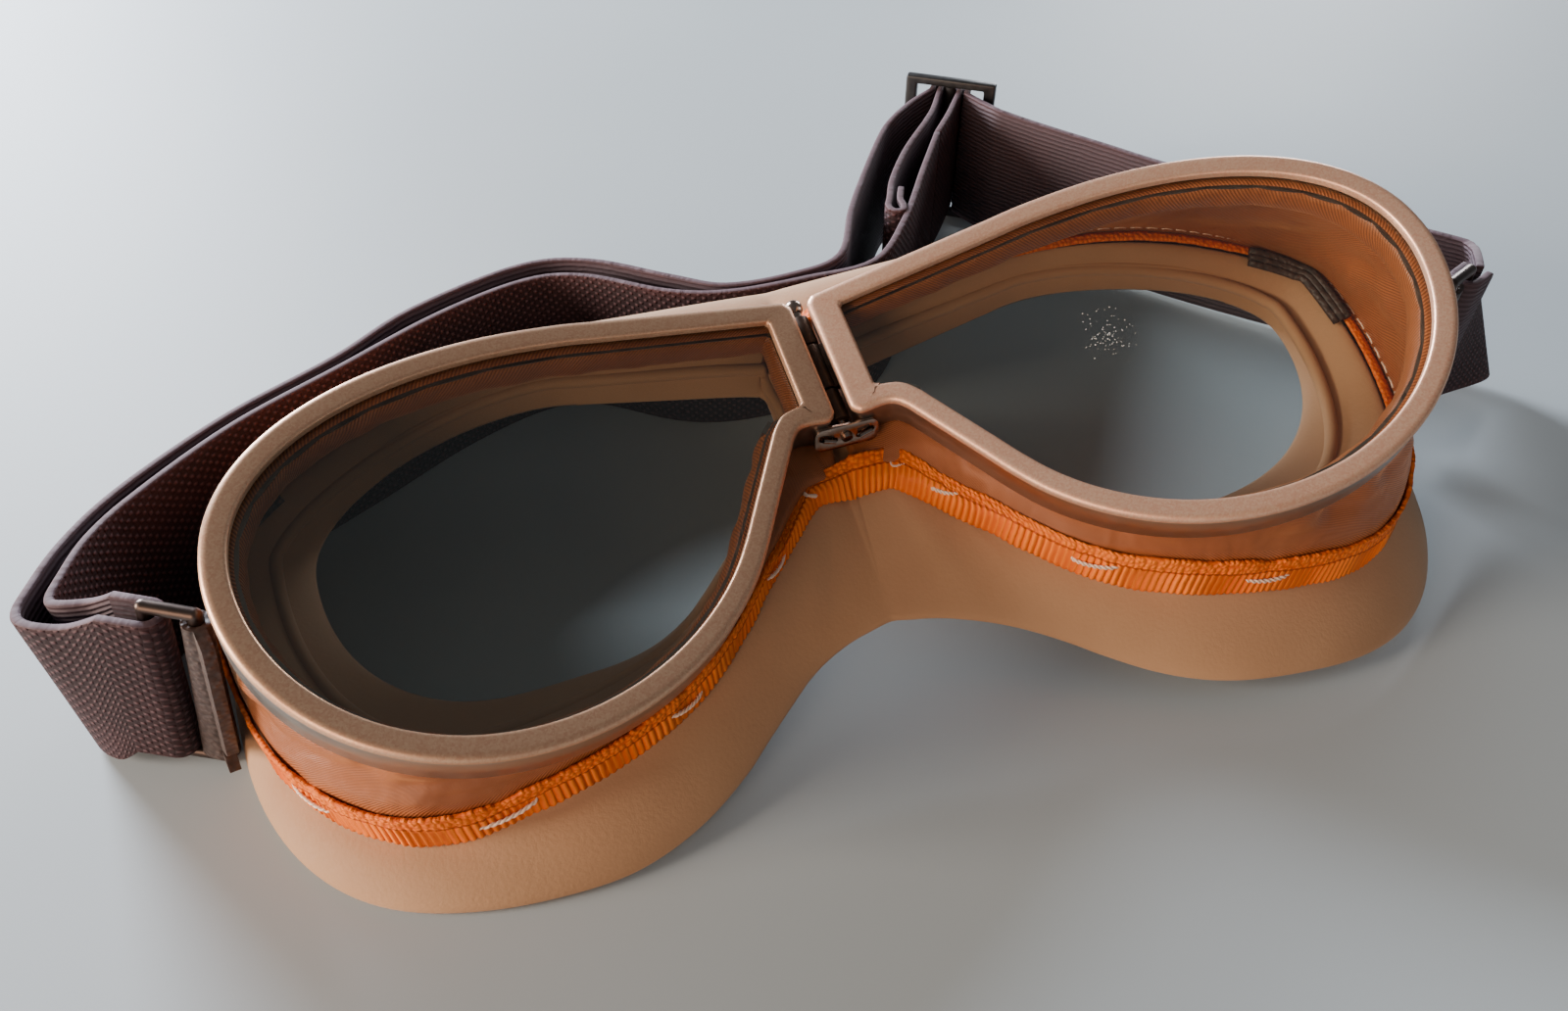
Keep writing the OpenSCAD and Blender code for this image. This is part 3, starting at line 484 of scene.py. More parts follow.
def on_eyepiece(side, p, w):
    """A point of the eyepiece, p across its face and w above the hinge's line."""
    a = TILT[side]
    u = p.x + NOSE_GAP
    x, n = u * math.cos(a) - w * math.sin(a), u * math.sin(a) + w * math.cos(a)
    return Vector((side * x, HINGE.y + p.y * math.cos(PITCH) - n * math.sin(PITCH),
                   HINGE.z + p.y * math.sin(PITCH) + n * math.cos(PITCH)))


def sweep(rings, across, closed=True, skew=0.0):
    """Extrudes a line from ring to ring, with a UV map in metres: along, across."""
    bm = bmesh.new()
    station = bm.verts.layers.int.new("station")
    row = bm.verts.layers.int.new("row")
    n = len(rings[0])
    edges = started(bm, rings[0], closed, station)
    for r, ring in enumerate(rings[1:], 1):
        edges, fresh = extruded(bm, edges, ring, station)
        for v in fresh:
            v[row] = r
    along = [0.0]
    middle = rings[len(rings) // 2]
    for i in range(n):
        along.append(along[-1] + (middle[(i + 1) % n] - middle[i]).length * 0.001)
    uv = bm.loops.layers.uv.new("UVMap")
    for face in bm.faces:
        places = [v[station] for v in face.verts]
        over = max(places) - min(places) > n / 2
        for loop in face.loops:
            s = loop.vert[station]
            v = across[loop.vert[row]] * 0.001
            loop[uv].uv = (along[n if over and s == 0 else s] + skew * v, v)
    bmesh.ops.recalc_face_normals(bm, faces=bm.faces)
    return bm


def thickened(made, wall):
    """Gives a sheet its thickness, to both sides alike."""
    m = made.modifiers.new("wall", "SOLIDIFY")
    m.thickness = wall * 0.001
    m.offset = 0.0
    return m


CLOTH_OUT = 1.1
CLOTH_ROWS = 9
PLEATS = 13
PLEAT_DEEP, CREASE_DEEP, SAG_DEEP = 0.6, 2.0, 0.4
PER_STATION = 5  # points of a swept line for each station
# The cloth goes over the lens's ring and is turned in below it: how far inside the rim, how high,
# and how far across the cloth
TURNED_IN = ((2.5, 0.5, 28.0), (3.6, 0.45, 29.2), (4.0, 0.1, 29.8), (4.05, -1.2, 31.2),
             (4.05, -2.6, 32.6), (3.9, -3.5, 33.5), (3.2, -3.95, 34.5), (2.1, -4.1, 35.5))
for side in (-1, 1):
    low = [wall_point(side, j, CLOTH_OUT, min(base(j) + 1.4, collar(side, j) - 0.2))
           for j in range(STATIONS)]
    seam = [wall_point(side, j, CLOTH_OUT, collar(side, j) + 0.9) for j in range(STATIONS)]
    under = [on_eyepiece(side, p, WALL_LOW - 0.6) for p in rim(1.5)]
    upper = [on_eyepiece(side, p, -0.1) for p in rim(1.5)]
    low, seam, under, upper = (finer(r, PER_STATION) for r in (low, seam, under, upper))
    n = len(seam)
    centre = sum(seam, Vector()) / n
    rings, across = [low, seam], [0.0, 6.0]
    for k in range(1, CLOTH_ROWS):
        t = k / CLOTH_ROWS
        ring = []
        for i in range(n):
            p = seam[i].lerp(under[i], t)
            high = (under[i] - seam[i]).length
            away = p - centre
            away.z = 0
            away.normalize()
            # Puckers stand between the two seams, deeper where the cloth is higher
            slack = math.sin(math.pi * t) * clamp(high / 14)
            free = clamp((t * high - 5.0) / 4)
            pleat = math.cos(2 * math.pi * PLEATS * i / n + 1.5 * noise.noise(p * 0.05))
            crease = noise.noise(Vector((p.x * 0.16, p.y * 0.16, p.z * 0.32)))
            sag = noise.noise(Vector((p.x * 0.5, p.y * 0.5, p.z * 0.2 + 7.0)))
            bulge = PLEAT_DEEP * pleat + CREASE_DEEP * crease + SAG_DEEP * sag - 0.2
            ring.append(p + away * slack * (bulge * free - 0.3))
        rings.append(ring)
        across.append(6.0 + 18 * t)
    rings += [under, upper]
    across += [24.0, 27.0]
    for off, w, at in TURNED_IN:
        ring = finer([on_eyepiece(side, p, w) for p in rim(off)], PER_STATION)
        inwards = clamp(-w / 1.2) * clamp((off - 2.4) / 1.4)
        middle = sum(ring, Vector()) / n
        rings.append([
            p + (middle - p).normalized() * inwards *
            (0.35 + 0.5 * noise.noise(Vector((p.x * 0.3, p.y * 0.3, w * 0.25)))) for p in ring])
        across.append(at)
    gusset = piece(f"{SIDE[side]}_gusset_cloth", sweep(rings, across), None,
                   [satin_nylon], [f"{SIDE[side]}_gusset"])
    thickened(gusset, 0.45)
    smooth_levels(gusset, 1)
    up = Vector((-side * math.sin(TILT[side]), -math.sin(PITCH), math.cos(PITCH))).normalized()
    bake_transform(gusset)

# ---------------------------------------------------------------- ribbon binding
# Orange grosgrain ribbon sewn over the seam all the way round: ribs across it, a dense picot edge
# along its upper third with the machine stitching, and small waves where the sewing drew it in.

grosgrain, tree = finish("orange_grosgrain_ribbon")
# Ribs 1 mm apart and knots of the picot edge above them; their crowns are painted lighter as
# painted highlight and the gaps between them darker as painted shade
lay = coords(tree, "UV")
across = add(tree, "ShaderNodeSeparateXYZ", {0: lay}).outputs[1]
swung = strayed(tree, lay, 260.0, (0.0005, 0.0004, 0.0))
ribs = add(tree, "ShaderNodeTexWave", {"Vector": swung, "Scale": 299.0, "Distortion": 0.0},
           wave_type="BANDS", wave_profile="SIN").outputs["Fac"]
knots = add(tree, "ShaderNodeTexVoronoi", {"Vector": swung, "Scale": 1150.0, "Randomness": 0.7},
            voronoi_dimensions="2D").outputs["Distance"]
crown = within(tree, knots, 1.0, 0.0, 0.0, 0.65)
picot = within(tree, across, 0.0, 1.0, 0.0040, 0.0044)
height = add(tree, "ShaderNodeMix", {0: picot, 2: ribs, 3: crown}).outputs[0]
seam_line = calc(tree, "COMPARE", across, 0.0042, 0.00018)
patchy = within(tree, specks(tree, lay, 55.0, 2.0), 0.0, 0.4, 0.4, 0.8)
# Painted highlight on the crowns and painted shade in the gaps, with real faded patches over them
fade_and_painted_ribs = shade(tree, patchy, shade(tree, height, "#dc5c0c", "#ff8422"), "#ff9030")
surface(tree, {
    "Base Color": shade(tree, seam_line, fade_and_painted_ribs, "#b2480c"), "Roughness": 0.62,
    "Normal": bump(tree, height, 0.5, 0.0005), "Specular IOR Level": 0.25,
    "Sheen Weight": 0.2, "Sheen Roughness": 0.4, "Sheen Tint": colour("#ff9a50")})

RIBBON_FIRST, RIBBON_LAST = 3, STATIONS - 9
RIBBON_OUT = 1.82
RIBBON_ROWS = 12
RIM_IN = rim(1.5)
RIB, RIB_HIGH, KNOT_HIGH = 1.05, 0.11, 0.18
SKEW = 0.10  # the ribs lean along the ribbon by this share of its width
FINE = 34  # points along the ribbon for each station
PICOT_FROM = 0.62  # where the picot edge starts, as a share of the width
# Where hand stitches pull the ribbon in, by station
PULLS = {-1: (20.5, 24.5, 28.6, 32.6, 36.1), 1: (19.5, 25.5, 29.5, 33.6, 36.1)}


def follow(path, along):
    """The point at a length along a path, or near its end."""
    whole = sum((b - a).length for a, b in zip(path, path[1:]))
    left = min(along, whole * along / RIBBON_W)
    for a, b in zip(path, path[1:]):
        if left <= (b - a).length or b is path[-1]:
            return a.lerp(b, left / max(1e-6, (b - a).length))
        left -= (b - a).length


def ribbon_place(side, j, along, lift=0.0):
    """A point of the ribbon at station j, along up its width: up the collar, then up the cloth."""
    k = min(int(j), STATIONS - 2)
    # The left eyepiece can come down by 1.5 degrees, so its ribbon is a little narrower
    along *= 0.89 - 0.07 * clamp((52 - RIM_IN[k].x) / 10) if side < 0 else 1
    found = []
    for i in (k, k + 1):
        foot = wall_point(side, i, RIBBON_OUT, base(i) + 0.2)
        away = (wall_point(side, i, RIBBON_OUT + 1, base(i))
                - wall_point(side, i, RIBBON_OUT, base(i))).normalized()
        fold = wall_point(side, i, RIBBON_OUT, max(collar(side, i) + 0.7, base(i) + 1.2))
        drop, out_by = (2.1 + 0.023 * RIM_IN[i].x, 2.1) if side < 0 else (0.9, 1.3)
        head = on_eyepiece(side, RIM_IN[i], WALL_LOW - drop) + away * out_by
        found.append(follow([foot, fold, head], along) + away * lift)
    return found[0].lerp(found[1], j - k)


def middle_place(side, along, brow):
    """The ribbon's point on the middle line, leaning back under the hinge."""
    j = RIBBON_FIRST if brow else RIBBON_LAST
    y = SEAM[j].y + (RIBBON_OUT if brow else -RIBBON_OUT)
    foot = mask_point(side, Vector((0, y)), base(j) + 0.2)
    head = Vector((0, 12.6, 30.6)) if brow else Vector((0, -9.6, 25.2))
    return follow([foot, head], along)


def ribbon_line(side, along, lift=0.0):
    """The ribbon's whole line, at a length up its width."""
    stations = range(RIBBON_FIRST, RIBBON_LAST + 1)
    return finer([middle_place(side, along, True)]
                 + [ribbon_place(side, j, along, lift) for j in stations]
                 + [middle_place(side, along, False)], FINE, closed=False)


for side in (-1, 1):
    lines = [ribbon_line(side, RIBBON_W * row / RIBBON_ROWS) for row in range(RIBBON_ROWS + 1)]
    middle_line = lines[RIBBON_ROWS // 2]
    outer = ribbon_line(side, 3, 1.0)
    length = [0.0]
    for a, b in zip(middle_line, middle_line[1:]):
        length.append(length[-1] + (b - a).length)
    rings, across_mm = [], []
    for row, line in enumerate(lines):
        share = row / RIBBON_ROWS
        above, below = lines[min(row + 1, RIBBON_ROWS)], lines[max(row - 1, 0)]
        ring = []
        for i, p in enumerate(line):
            away = outer[i] - middle_line[i]
            away = away.normalized() if away.length > 0.1 else Vector((0, -1, 0.3)).normalized()
            up = (above[i] - below[i]).normalized()
            at = RIBBON_FIRST - 1 + i / FINE
            pull = max(math.exp(-((at - place) / 0.22) ** 2) for place in PULLS[side])
            mm = length[i] + SKEW * RIBBON_W * share
            drawn = noise.noise(Vector((length[i] * 0.22, share * 1.2, side * 9.0)))
            wave = noise.noise(Vector((length[i] * 0.08, share * 0.6, side * 4.0 + 2.0)))
            rib = RIB_HIGH * math.cos(2 * math.pi * mm / RIB) * (share < 0.66)
            knot = (KNOT_HIGH * noise.noise(Vector((length[i] * 1.3, share * 9, side * 3.0)))
                    * (share > PICOT_FROM))
            edge = ((0.55 * drawn - 0.7 * pull) * max(0, share - 0.6) * 2.5
                    + 0.12 * wave * (1 - share))
            edge = min(edge, 0.1) if side < 0 else edge
            # It stands out more on its last stretch, towards the hinge
            proud = 0.7 * clamp((at - RIBBON_LAST + 5) / 2)
            out_by = 0.2 * drawn + 0.25 * wave + rib + knot + proud - 0.35 * pull * share
            ring.append(p + away * out_by + up * edge)
        rings.append(ring)
        across_mm.append(RIBBON_W * share)
    ribbon = piece(f"{SIDE[side]}_grosgrain", sweep(rings, across_mm, closed=False, skew=SKEW),
                   "mask_and_strap", [grosgrain], [f"{SIDE[side]}_ribbon"])
    thickened(ribbon, 0.55)

# ---------------------------------------------------------------- inner seam
# Inside the eye openings the ribbon's turned edge shows as a narrow orange strip on top of the
# collar, with the gusset's row of pale machine stitches just above it.

# Pale linen, slightly glossy with wax, and its fibres drawn as a fine mottle
waxed_thread = mottled("waxed_linen_thread", "#dcb492", "#f8e4d2", 1500.0, 0.4, detail=2.0,
                       more={"Sheen Weight": 0.2})

MACHINE_STITCH = 2.9
for side in (-1, 1):
    rings = []
    for d, lift in ((0.35, 0.75), (-0.3, 1.0), (-0.9, 0.95), (-1.4, 0.62)):
        line = [wall_point(side, j, d, collar(side, j) + lift) for j in range(3, 22)]
        rings.append([p + Vector((0, 0, 0.14 * noise.noise(p * 0.9)))
                      for p in finer(line, 8, closed=False)])
    strip = piece(f"{SIDE[side]}_inner_binding", sweep(rings, [4.6, 5.2, 5.8, 6.4], closed=False),
                  "mask_and_strap", [grosgrain])
    thickened(strip, 0.3)
    line = [wall_point(side, j, 0.25, collar(side, j) + 1.9) for j in range(4, 20)]
    line = finer(line, 3, closed=False)
    paths = []
    for a, b in zip(line, line[1:]):
        steps = max(1, int((b - a).length / MACHINE_STITCH))
        for k in range(steps):
            c = a.lerp(b, (k + 0.12) / steps)
            d = a.lerp(b, (k + 0.84) / steps)
            paths.append([c, c.lerp(d, 0.5) + Vector((0, 0, 0.12)), d])
    tubes(f"{SIDE[side]}_inner_stitching", paths, 0.16, 6, waxed_thread)

# ---------------------------------------------------------------- hand stitches
# Long repair stitches in pale waxed thread of two plies, sewn through the ribbon by hand. Each
# lies slack over the ribs and dives in at its ends.

STITCHES = {  # first station and how far up the ribbon it starts, last station and how far it ends
    -1: [(20.0, 3.6, 21.0, 2.6), (24.0, 2.4, 25.1, 3.4), (28.1, 3.4, 29.1, 2.3),
         (32.2, 3.2, 33.2, 2.1), (35.6, 3.6, 36.6, 2.2)],
    1: [(18.9, 3.2, 20.2, 2.8), (25.0, 3.2, 26.0, 2.8), (28.9, 3.7, 30.1, 2.6),
        (33.1, 4.0, 34.2, 2.4), (35.4, 4.4, 36.7, 3.2)],
}
PLY_R, TWIST_R, TWISTS = 0.18, 0.17, 4.5
STITCH_STEPS = 24
for side in (-1, 1):
    paths = []
    for j0, s0, j1, s1 in STITCHES[side]:
        for ply in (0, 1):
            path = []
            for k in range(STITCH_STEPS + 1):
                t = k / STITCH_STEPS
                hump = math.sin(math.pi * t) ** 0.4
                p = ribbon_place(side, j0 + (j1 - j0) * t, s0 + (s1 - s0) * t, -0.3 + 1.1 * hump)
                a = 2 * math.pi * (t * TWISTS + ply / 2)
                path.append(p + Vector((0.05 * math.cos(a), TWIST_R * math.sin(a),
                                        TWIST_R * math.cos(a))))
            paths.append(path)
    tubes(f"{SIDE[side]}_thread_stitches", paths, PLY_R, 8, waxed_thread,
          [f"{SIDE[side]}_hand_stitches"])

# ---------------------------------------------------------------- eyepiece frames
# Each frame is one aluminium pressing, a flat face with a rounded outer edge on a deep side wall,
# sandblasted and anodised in champagne. The nose sides carry the hinge's knuckles.


def blasted_aluminium(name, shaded, light):
    """Grit of about 0.15 mm, drawn at 0.25 mm so that its sparkle shows, over faint clouds."""
    made, tree = finish(name)
    where = coords(tree, "Object")
    sparkle = add(tree, "ShaderNodeTexVoronoi", {"Vector": where, "Scale": 4200.0})
    spark = add(tree, "ShaderNodeSeparateXYZ", {0: sparkle.outputs["Color"]})
    tone = shade(tree, specks(tree, where, 45.0, 3.0), shaded, light)
    surface(tree, {
        "Base Color": shade(tree, 0.14, tone, spark.outputs[0], blend_type="OVERLAY"),
        "Metallic": 0.7, "Roughness": within(tree, spark.outputs[1], 0.39, 0.44),
        "Normal": bump(tree, specks(tree, where, 5200.0, 1.0), 0.03, 0.0002)})
    return made


# Both frames have one finish; the left one is painted darker as painted shade and the right one
# lighter as painted reflection
champagne = {-1: blasted_aluminium("champagne_aluminium_painted_shade", "#d2a584", "#deb292"),
             1: blasted_aluminium("champagne_aluminium_painted_reflection", "#dcaa8c", "#e8ba9c")}
# The drawn side wall is smoother than the blasted face, with faint marks; it is painted greyer, as
# painted reflection of the table
METAL = {"Metallic": 1.0}
wall_with_painted_reflection = mottled("side_wall_painted_reflection", "#a39a92", "#b8b0a8", 300.0, (0.26, 0.38),
                     more=METAL)
# The knuckles are painted dark, as painted shade in the hinge's gap
hinge_painted_shade_metal = mottled("hinge_metal_painted_shade", "#2e2119", "#5a4436", 500.0, (0.35, 0.6),
                      more={"Metallic": 0.8})

FACE_W, NOSE_FACE_W, FACE_T, WALL_T = 3.2, 4.6, 1.2, 1.2
FACE_LOW = FACE_RISE - FACE_T
EXTRA = NOSE_FACE_W - FACE_W
PROFILE = [  # inwards of the rim, more at the nose, height on the eyepiece
    (0.0, 0.0, WALL_LOW + 0.2), (0.0, 0.0, 0.0), (0.0, 0.0, FACE_RISE - 1.0),
    (0.07, 0.0, FACE_RISE - 0.6), (0.24, 0.0, FACE_RISE - 0.28), (0.52, 0.0, FACE_RISE - 0.08),
    (0.9, 0.0, FACE_RISE), (1.1, 0.0, FACE_RISE), (FACE_W - 0.5, EXTRA, FACE_RISE),
    (FACE_W - 0.28, EXTRA, FACE_RISE - 0.02), (FACE_W - 0.08, EXTRA, FACE_RISE - 0.16),
    (FACE_W, EXTRA, FACE_RISE - 0.38), (FACE_W, EXTRA, FACE_LOW), (WALL_T, 0.0, FACE_LOW),
    (WALL_T, 0.0, WALL_LOW + 0.15), (WALL_T - 0.15, 0.0, WALL_LOW), (0.15, 0.0, WALL_LOW),
    (0.0, 0.0, WALL_LOW + 0.2),
]
OUTER_WALL_TO, INNER_WALL_FROM = 2.5, 12.5  # the profile's rows that lie on the side wall
KNUCKLES = {-1: [(-9.2, -4.2), (4.2, 9.2)], 1: [(-3.9, 3.9)]}
BARREL_R = 1.5
ALONG_Y = Matrix.Rotation(math.radians(90), 4, "X")
for side in (-1, 1):
    rings = [finer([on_eyepiece(side, p, w) for p in rim(off, off + more)], PER_STATION)
             for off, more, w in PROFILE]
    bm = sweep(rings, list(range(len(rings))))
    uv = bm.loops.layers.uv.active
    for face in bm.faces:
        rows = [loop[uv].uv.y * 1000 for loop in face.loops]
        on_wall = max(rows) < OUTER_WALL_TO or min(rows) > INNER_WALL_FROM
        face.material_index = 1 if on_wall else 0
    bmesh.ops.remove_doubles(bm, verts=bm.verts, dist=1e-6)
    bmesh.ops.recalc_face_normals(bm, faces=bm.faces)
    piece(f"{SIDE[side]}_frame_pressing", bm, BODY[side],
          [champagne[side], wall_with_painted_reflection], [f"{SIDE[side]}_frame"], sharp=50)
    # A barrel round the pin and a web to the frame, in the place of each knuckle
    bm = bmesh.new()
    for v0, v1 in KNUCKLES[side]:
        middle = Matrix.Translation((0, (v0 + v1) / 2, 0))
        bmesh.ops.create_cone(bm, cap_ends=True, segments=32, radius1=BARREL_R, radius2=BARREL_R,
                              depth=v1 - v0, matrix=middle @ ALONG_Y)
        bmesh.ops.create_cube(bm, size=1.0, matrix=middle @ Matrix.Translation((1.0, 0, 0)) @
                              Matrix.Diagonal((2.0, v1 - v0 - 0.1, 1.5, 1.0)))
    sharp = [e for e in bm.edges if len(e.link_faces) == 2 and e.calc_face_angle() > 1.0]
    bmesh.ops.bevel(bm, geom=sharp, offset=0.15, segments=2, profile=0.5, affect="EDGES",
                    material=-1)
    for v in bm.verts:
        v.co = on_eyepiece(side, Vector((v.co.x - NOSE_GAP, v.co.y)), v.co.z) * 0.001
    bmesh.ops.recalc_face_normals(bm, faces=bm.faces)
    piece(f"{SIDE[side]}_knuckles", bm, BODY[side], [hinge_painted_shade_metal], sharp=40)

# ---------------------------------------------------------------- lenses and their rings
# Flat clear glass cut to the frame, held from behind by a steel ring that is pressed in with the
# cloth. A patch of dried grit lies on the right one.

clear_glass, tree = finish("clear_flat_glass")
# Nearly all light passes; what is reflected is sharp and grows at low angles
gloss = add(tree, "ShaderNodeBsdfGlossy", {"Color": colour("#f2f6f4"), "Roughness": 0.03})
through = add(tree, "ShaderNodeBsdfTransparent", {"Color": colour("#f6f7f4")})
edge_on = add(tree, "ShaderNodeLayerWeight", {"Blend": 0.5}).outputs["Facing"]
share = within(tree, calc(tree, "POWER", edge_on, 4.0), 0.035, 0.7)
mixed = add(tree, "ShaderNodeMixShader", {0: share, 1: through.outputs[0], 2: gloss.outputs[0]})
add(tree, "ShaderNodeOutputMaterial", {"Surface": mixed.outputs[0]})

# Rolled strip, grey-brown and dull, with faint drawing marks
dull_steel = mottled("dull_rolled_steel", "#7d7068", "#a5988c", 400.0, (0.35, 0.6), more=METAL)

# Dried droplets and grit, white and slightly glossy
pale_dust = mottled("pale_grit_on_glass", "#a8a496", "#f4f2ea", 900.0, 0.35, detail=2.0)


def refinish(node, material):
    """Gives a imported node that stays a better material."""
    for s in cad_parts[node].material_slots:
        s.material = material


for side in (-1, 1):
    refinish(f"{SIDE[side]}_lens", clear_glass)
    refinish(f"{SIDE[side]}_lens_ring", dull_steel)
    refinish(f"{SIDE[side]}_rim_clip", dull_steel)

GRAINS = 90
PATCH_AT, PATCH_R = Vector((38.0, -13.0)), 5.6
ON_GLASS = FACE_LOW + 0.03
bm = bmesh.new()
for k in range(GRAINS):
    # Denser towards the middle of the patch, from coherent noise so that it never changes
    a = 6.28 * noise.noise(Vector((k * 1.37, 3.1, 0.4))) * 2
    r = PATCH_R * abs(noise.noise(Vector((k * 2.11, 8.7, 5.5)))) ** 0.7
    size = 0.05 + 0.13 * abs(noise.noise(Vector((k * 3.3, 1.9, 9.2))))
    at = on_eyepiece(1, PATCH_AT + Vector((r * math.cos(a), 1.3 * r * math.sin(a))), ON_GLASS)
    bmesh.ops.create_icosphere(bm, subdivisions=1, radius=size * 0.001, matrix=Matrix.Translation(
        at * 0.001) @ Matrix.Diagonal((1, 1, 0.5, 1)))
piece("right_lens_dust", bm, "right_eyepiece", [pale_dust])

# ---------------------------------------------------------------- nose hinge
# A nickelled steel pin with a ball at its top end; its lower end carries a small plate with two
# slanted slots, in which bent wire ends are caught.

# Bright and brownish, with fine rubbing marks
dark_nickel = mottled("polished_dark_nickel", "#7b665a", "#b39d8e", 900.0, (0.12, 0.34),
                      more=METAL)


def eased(node, width, segments=2):
    """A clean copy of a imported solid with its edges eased, width in millimetres."""
    bm = copy_of(node)
    bmesh.ops.dissolve_limit(bm, angle_limit=0.01, verts=bm.verts, edges=bm.edges)
    sharp = [e for e in bm.edges if len(e.link_faces) == 2 and e.calc_face_angle() > 0.6]
    bmesh.ops.bevel(bm, geom=sharp, offset=width * 0.001, segments=segments, profile=0.5,
                    affect="EDGES", material=-1, clamp_overlap=True)
    return bm


low, high = (Vector(c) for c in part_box("nose_bracket"))
centre = (low + high) / 2
PLATE_TIP = Matrix.Rotation(math.radians(-24), 4, "X")
tip = Matrix.Translation(centre) @ PLATE_TIP @ Matrix.Translation(-centre)
for node, name, bm in (("nose_bracket", "nose_plate", eased("nose_bracket", 0.14)),
                       ("bracket_staple", "plate_wire", copy_of("bracket_staple"))):
    bmesh.ops.transform(bm, matrix=tip, verts=bm.verts)
    piece(name, bm, "mask_and_strap", [dark_nickel], [node], sharp=35)
refinish("hinge_pin", dark_nickel)

# ---------------------------------------------------------------- leather tabs
# Each strap ring hangs in a strip of pebbled dark leather folded round its inner bar. The tab's
# ends go in under the gusset and show inside as three stitched ridges.

pebbled_leather, tree = finish("pebbled_dark_leather")
# Grain about 0.8 mm across, dull in its furrows and greasy on its crowns
pebble = add(tree, "ShaderNodeTexVoronoi", {"Vector": coords(tree, "Object"), "Scale": 1300.0},
             feature="SMOOTH_F1").outputs["Distance"]
surface(tree, {
    "Base Color": shade(tree, pebble, "#54413a", "#231a17"),
    "Roughness": within(tree, pebble, 0.34, 0.7),
    "Normal": bump(tree, pebble, 0.7, 0.0004, invert=True)})

# Drawn wire, browned and worn by the webbing
browned_steel = mottled("browned_steel_wire", "#3a302c", "#6e5f58", 350.0, (0.3, 0.5),
                        more=METAL)

# Ring places: the inner bar's foot, the way out from the mask, the ring's lean and its height
RINGS = {-1: ((-93.3, -13.9), 156, 11.5, 0.0), 1: ((98.8, -19.0), 20, 0.0, 5.0)}
TAB_REACH = 1.4
RIDGE_R = 0.62
for side in (-1, 1):
    bm = eased(f"{SIDE[side]}_tab", 0.25)
    (bar_x, bar_y), way = RINGS[side][:2]
    out_way = Vector((math.cos(math.radians(way)), math.sin(math.radians(way)), 0))
    for v in bm.verts:
        # The fold stands out towards the webbing
        reach = (v.co - Vector((bar_x, bar_y, 0)) * 0.001).dot(out_way) * 1000
        v.co += out_way * TAB_REACH * 0.001 * clamp(reach - 0.3)
    piece(f"{SIDE[side]}_leather_tab", bm, "mask_and_strap", [pebbled_leather],
          [f"{SIDE[side]}_tab"], sharp=45)
    ridges = []
    for d, lift in ((-1.3, 1.5), (-2.1, 0.9), (-2.9, 0.2)):
        line = [wall_point(side, j, d, collar(side, j) + lift) for j in range(13, 18)]
        ridges.append(finer(line, 4, closed=False))
    tubes(f"{SIDE[side]}_tab_ridges", ridges, RIDGE_R, 10, pebbled_leather,
          [f"{SIDE[side]}_tab_anchor"])
    refinish(f"{SIDE[side]}_strap_ring", browned_steel)

# ---------------------------------------------------------------- head strap
# One length of woven elastic webbing, 28 mm wide, from the slider round the left ring and back,
# over the slider's bar and on to the right ring. Its outer face has staggered knots, worn pinkish
# on their crowns and at the edges, and its inner face is plain.

STRAP_W, STRAP_T = 28.0, 1.4
KNOT_ALONG, KNOT_ACROSS, PLAIN_ACROSS = 1.7, 1.5, 0.9


def woven(name, ground, thread, worn, knot):
    """Webbing with staggered knots or with plain ribs along it, coarse enough to show."""
    made, tree = finish(name)
    lay = coords(tree, "UV")
    bent = strayed(tree, lay, 320.0, (0.0005, 0.0005, 0.0))
    place = add(tree, "ShaderNodeSeparateXYZ", {0: bent})
    one, two = (
        calc(tree, "SINE", calc(tree, "MULTIPLY", place.outputs[axis], 2000 * math.pi / pitch))
        for axis, pitch in enumerate((KNOT_ALONG, KNOT_ACROSS if knot else PLAIN_ACROSS)))
    if knot:
        height = within(tree, calc(tree, "MULTIPLY", one, two), 0.0, 1.0, 0.05, 0.9)
    else:
        height = within(tree, two, 0.0, 1.0, -1.0, 1.0)
    # Worn at both edges and in patches
    half = STRAP_W * 0.0005
    across = add(tree, "ShaderNodeSeparateXYZ", {0: lay}).outputs[1]
    off_middle = calc(tree, "ABSOLUTE", calc(tree, "SUBTRACT", across, half))
    edge = within(tree, off_middle, 0.0, 0.4, half - 0.0013, half)
    patch = within(tree, specks(tree, lay, 80.0, 3.0), 0.0, 0.35, 0.45, 0.8)
    tone = shade(tree, height, ground, thread)
    # A little fuzz lies over the weave
    raised = calc(tree, "MULTIPLY_ADD", specks(tree, lay, 1400.0, 2.0), 0.3, height)
    surface(tree, {
        "Base Color": shade(tree, calc(tree, "ADD", edge, patch), tone, worn),
        "Roughness": 0.72, "Normal": bump(tree, raised, 0.7, 0.0005),
        "Specular IOR Level": 0.25, "Sheen Weight": 0.08, "Sheen Roughness": 0.5,
        "Sheen Tint": colour("#a07c7c")})
    return made


knotted = woven("knotted_elastic_webbing", "#2b1d20", "#5e4448", "#563638", True)
plain_back = woven("plain_webbing_back", "#4b4046", "#5f5259", "#644d52", False)


def turned_to(p, degrees):
    c, s = math.cos(math.radians(degrees)), math.sin(math.radians(degrees))
    return Vector((p[0] * c - p[1] * s, p[0] * s + p[1] * c))


WIRE_R = 0.9
STRAP_Z = 2 * WIRE_R + 0.2
LOOP_R = WIRE_R + 0.3 + STRAP_T / 2
LEG = 4.2
RING_REACH = 6.0  # from a ring's inner bar to its outer bar


def at_ring(side, x, y, z):
    """A point of a strap ring's own frame, x out from its inner bar and z up its height."""
    bar, way, lean_in, lift = RINGS[side]
    a = math.radians(lean_in)
    q = Vector(bar) + turned_to((x * math.cos(a) - z * math.sin(a), y), way)
    return Vector((q.x, q.y, x * math.sin(a) + z * math.cos(a) + WIRE_R + lift))


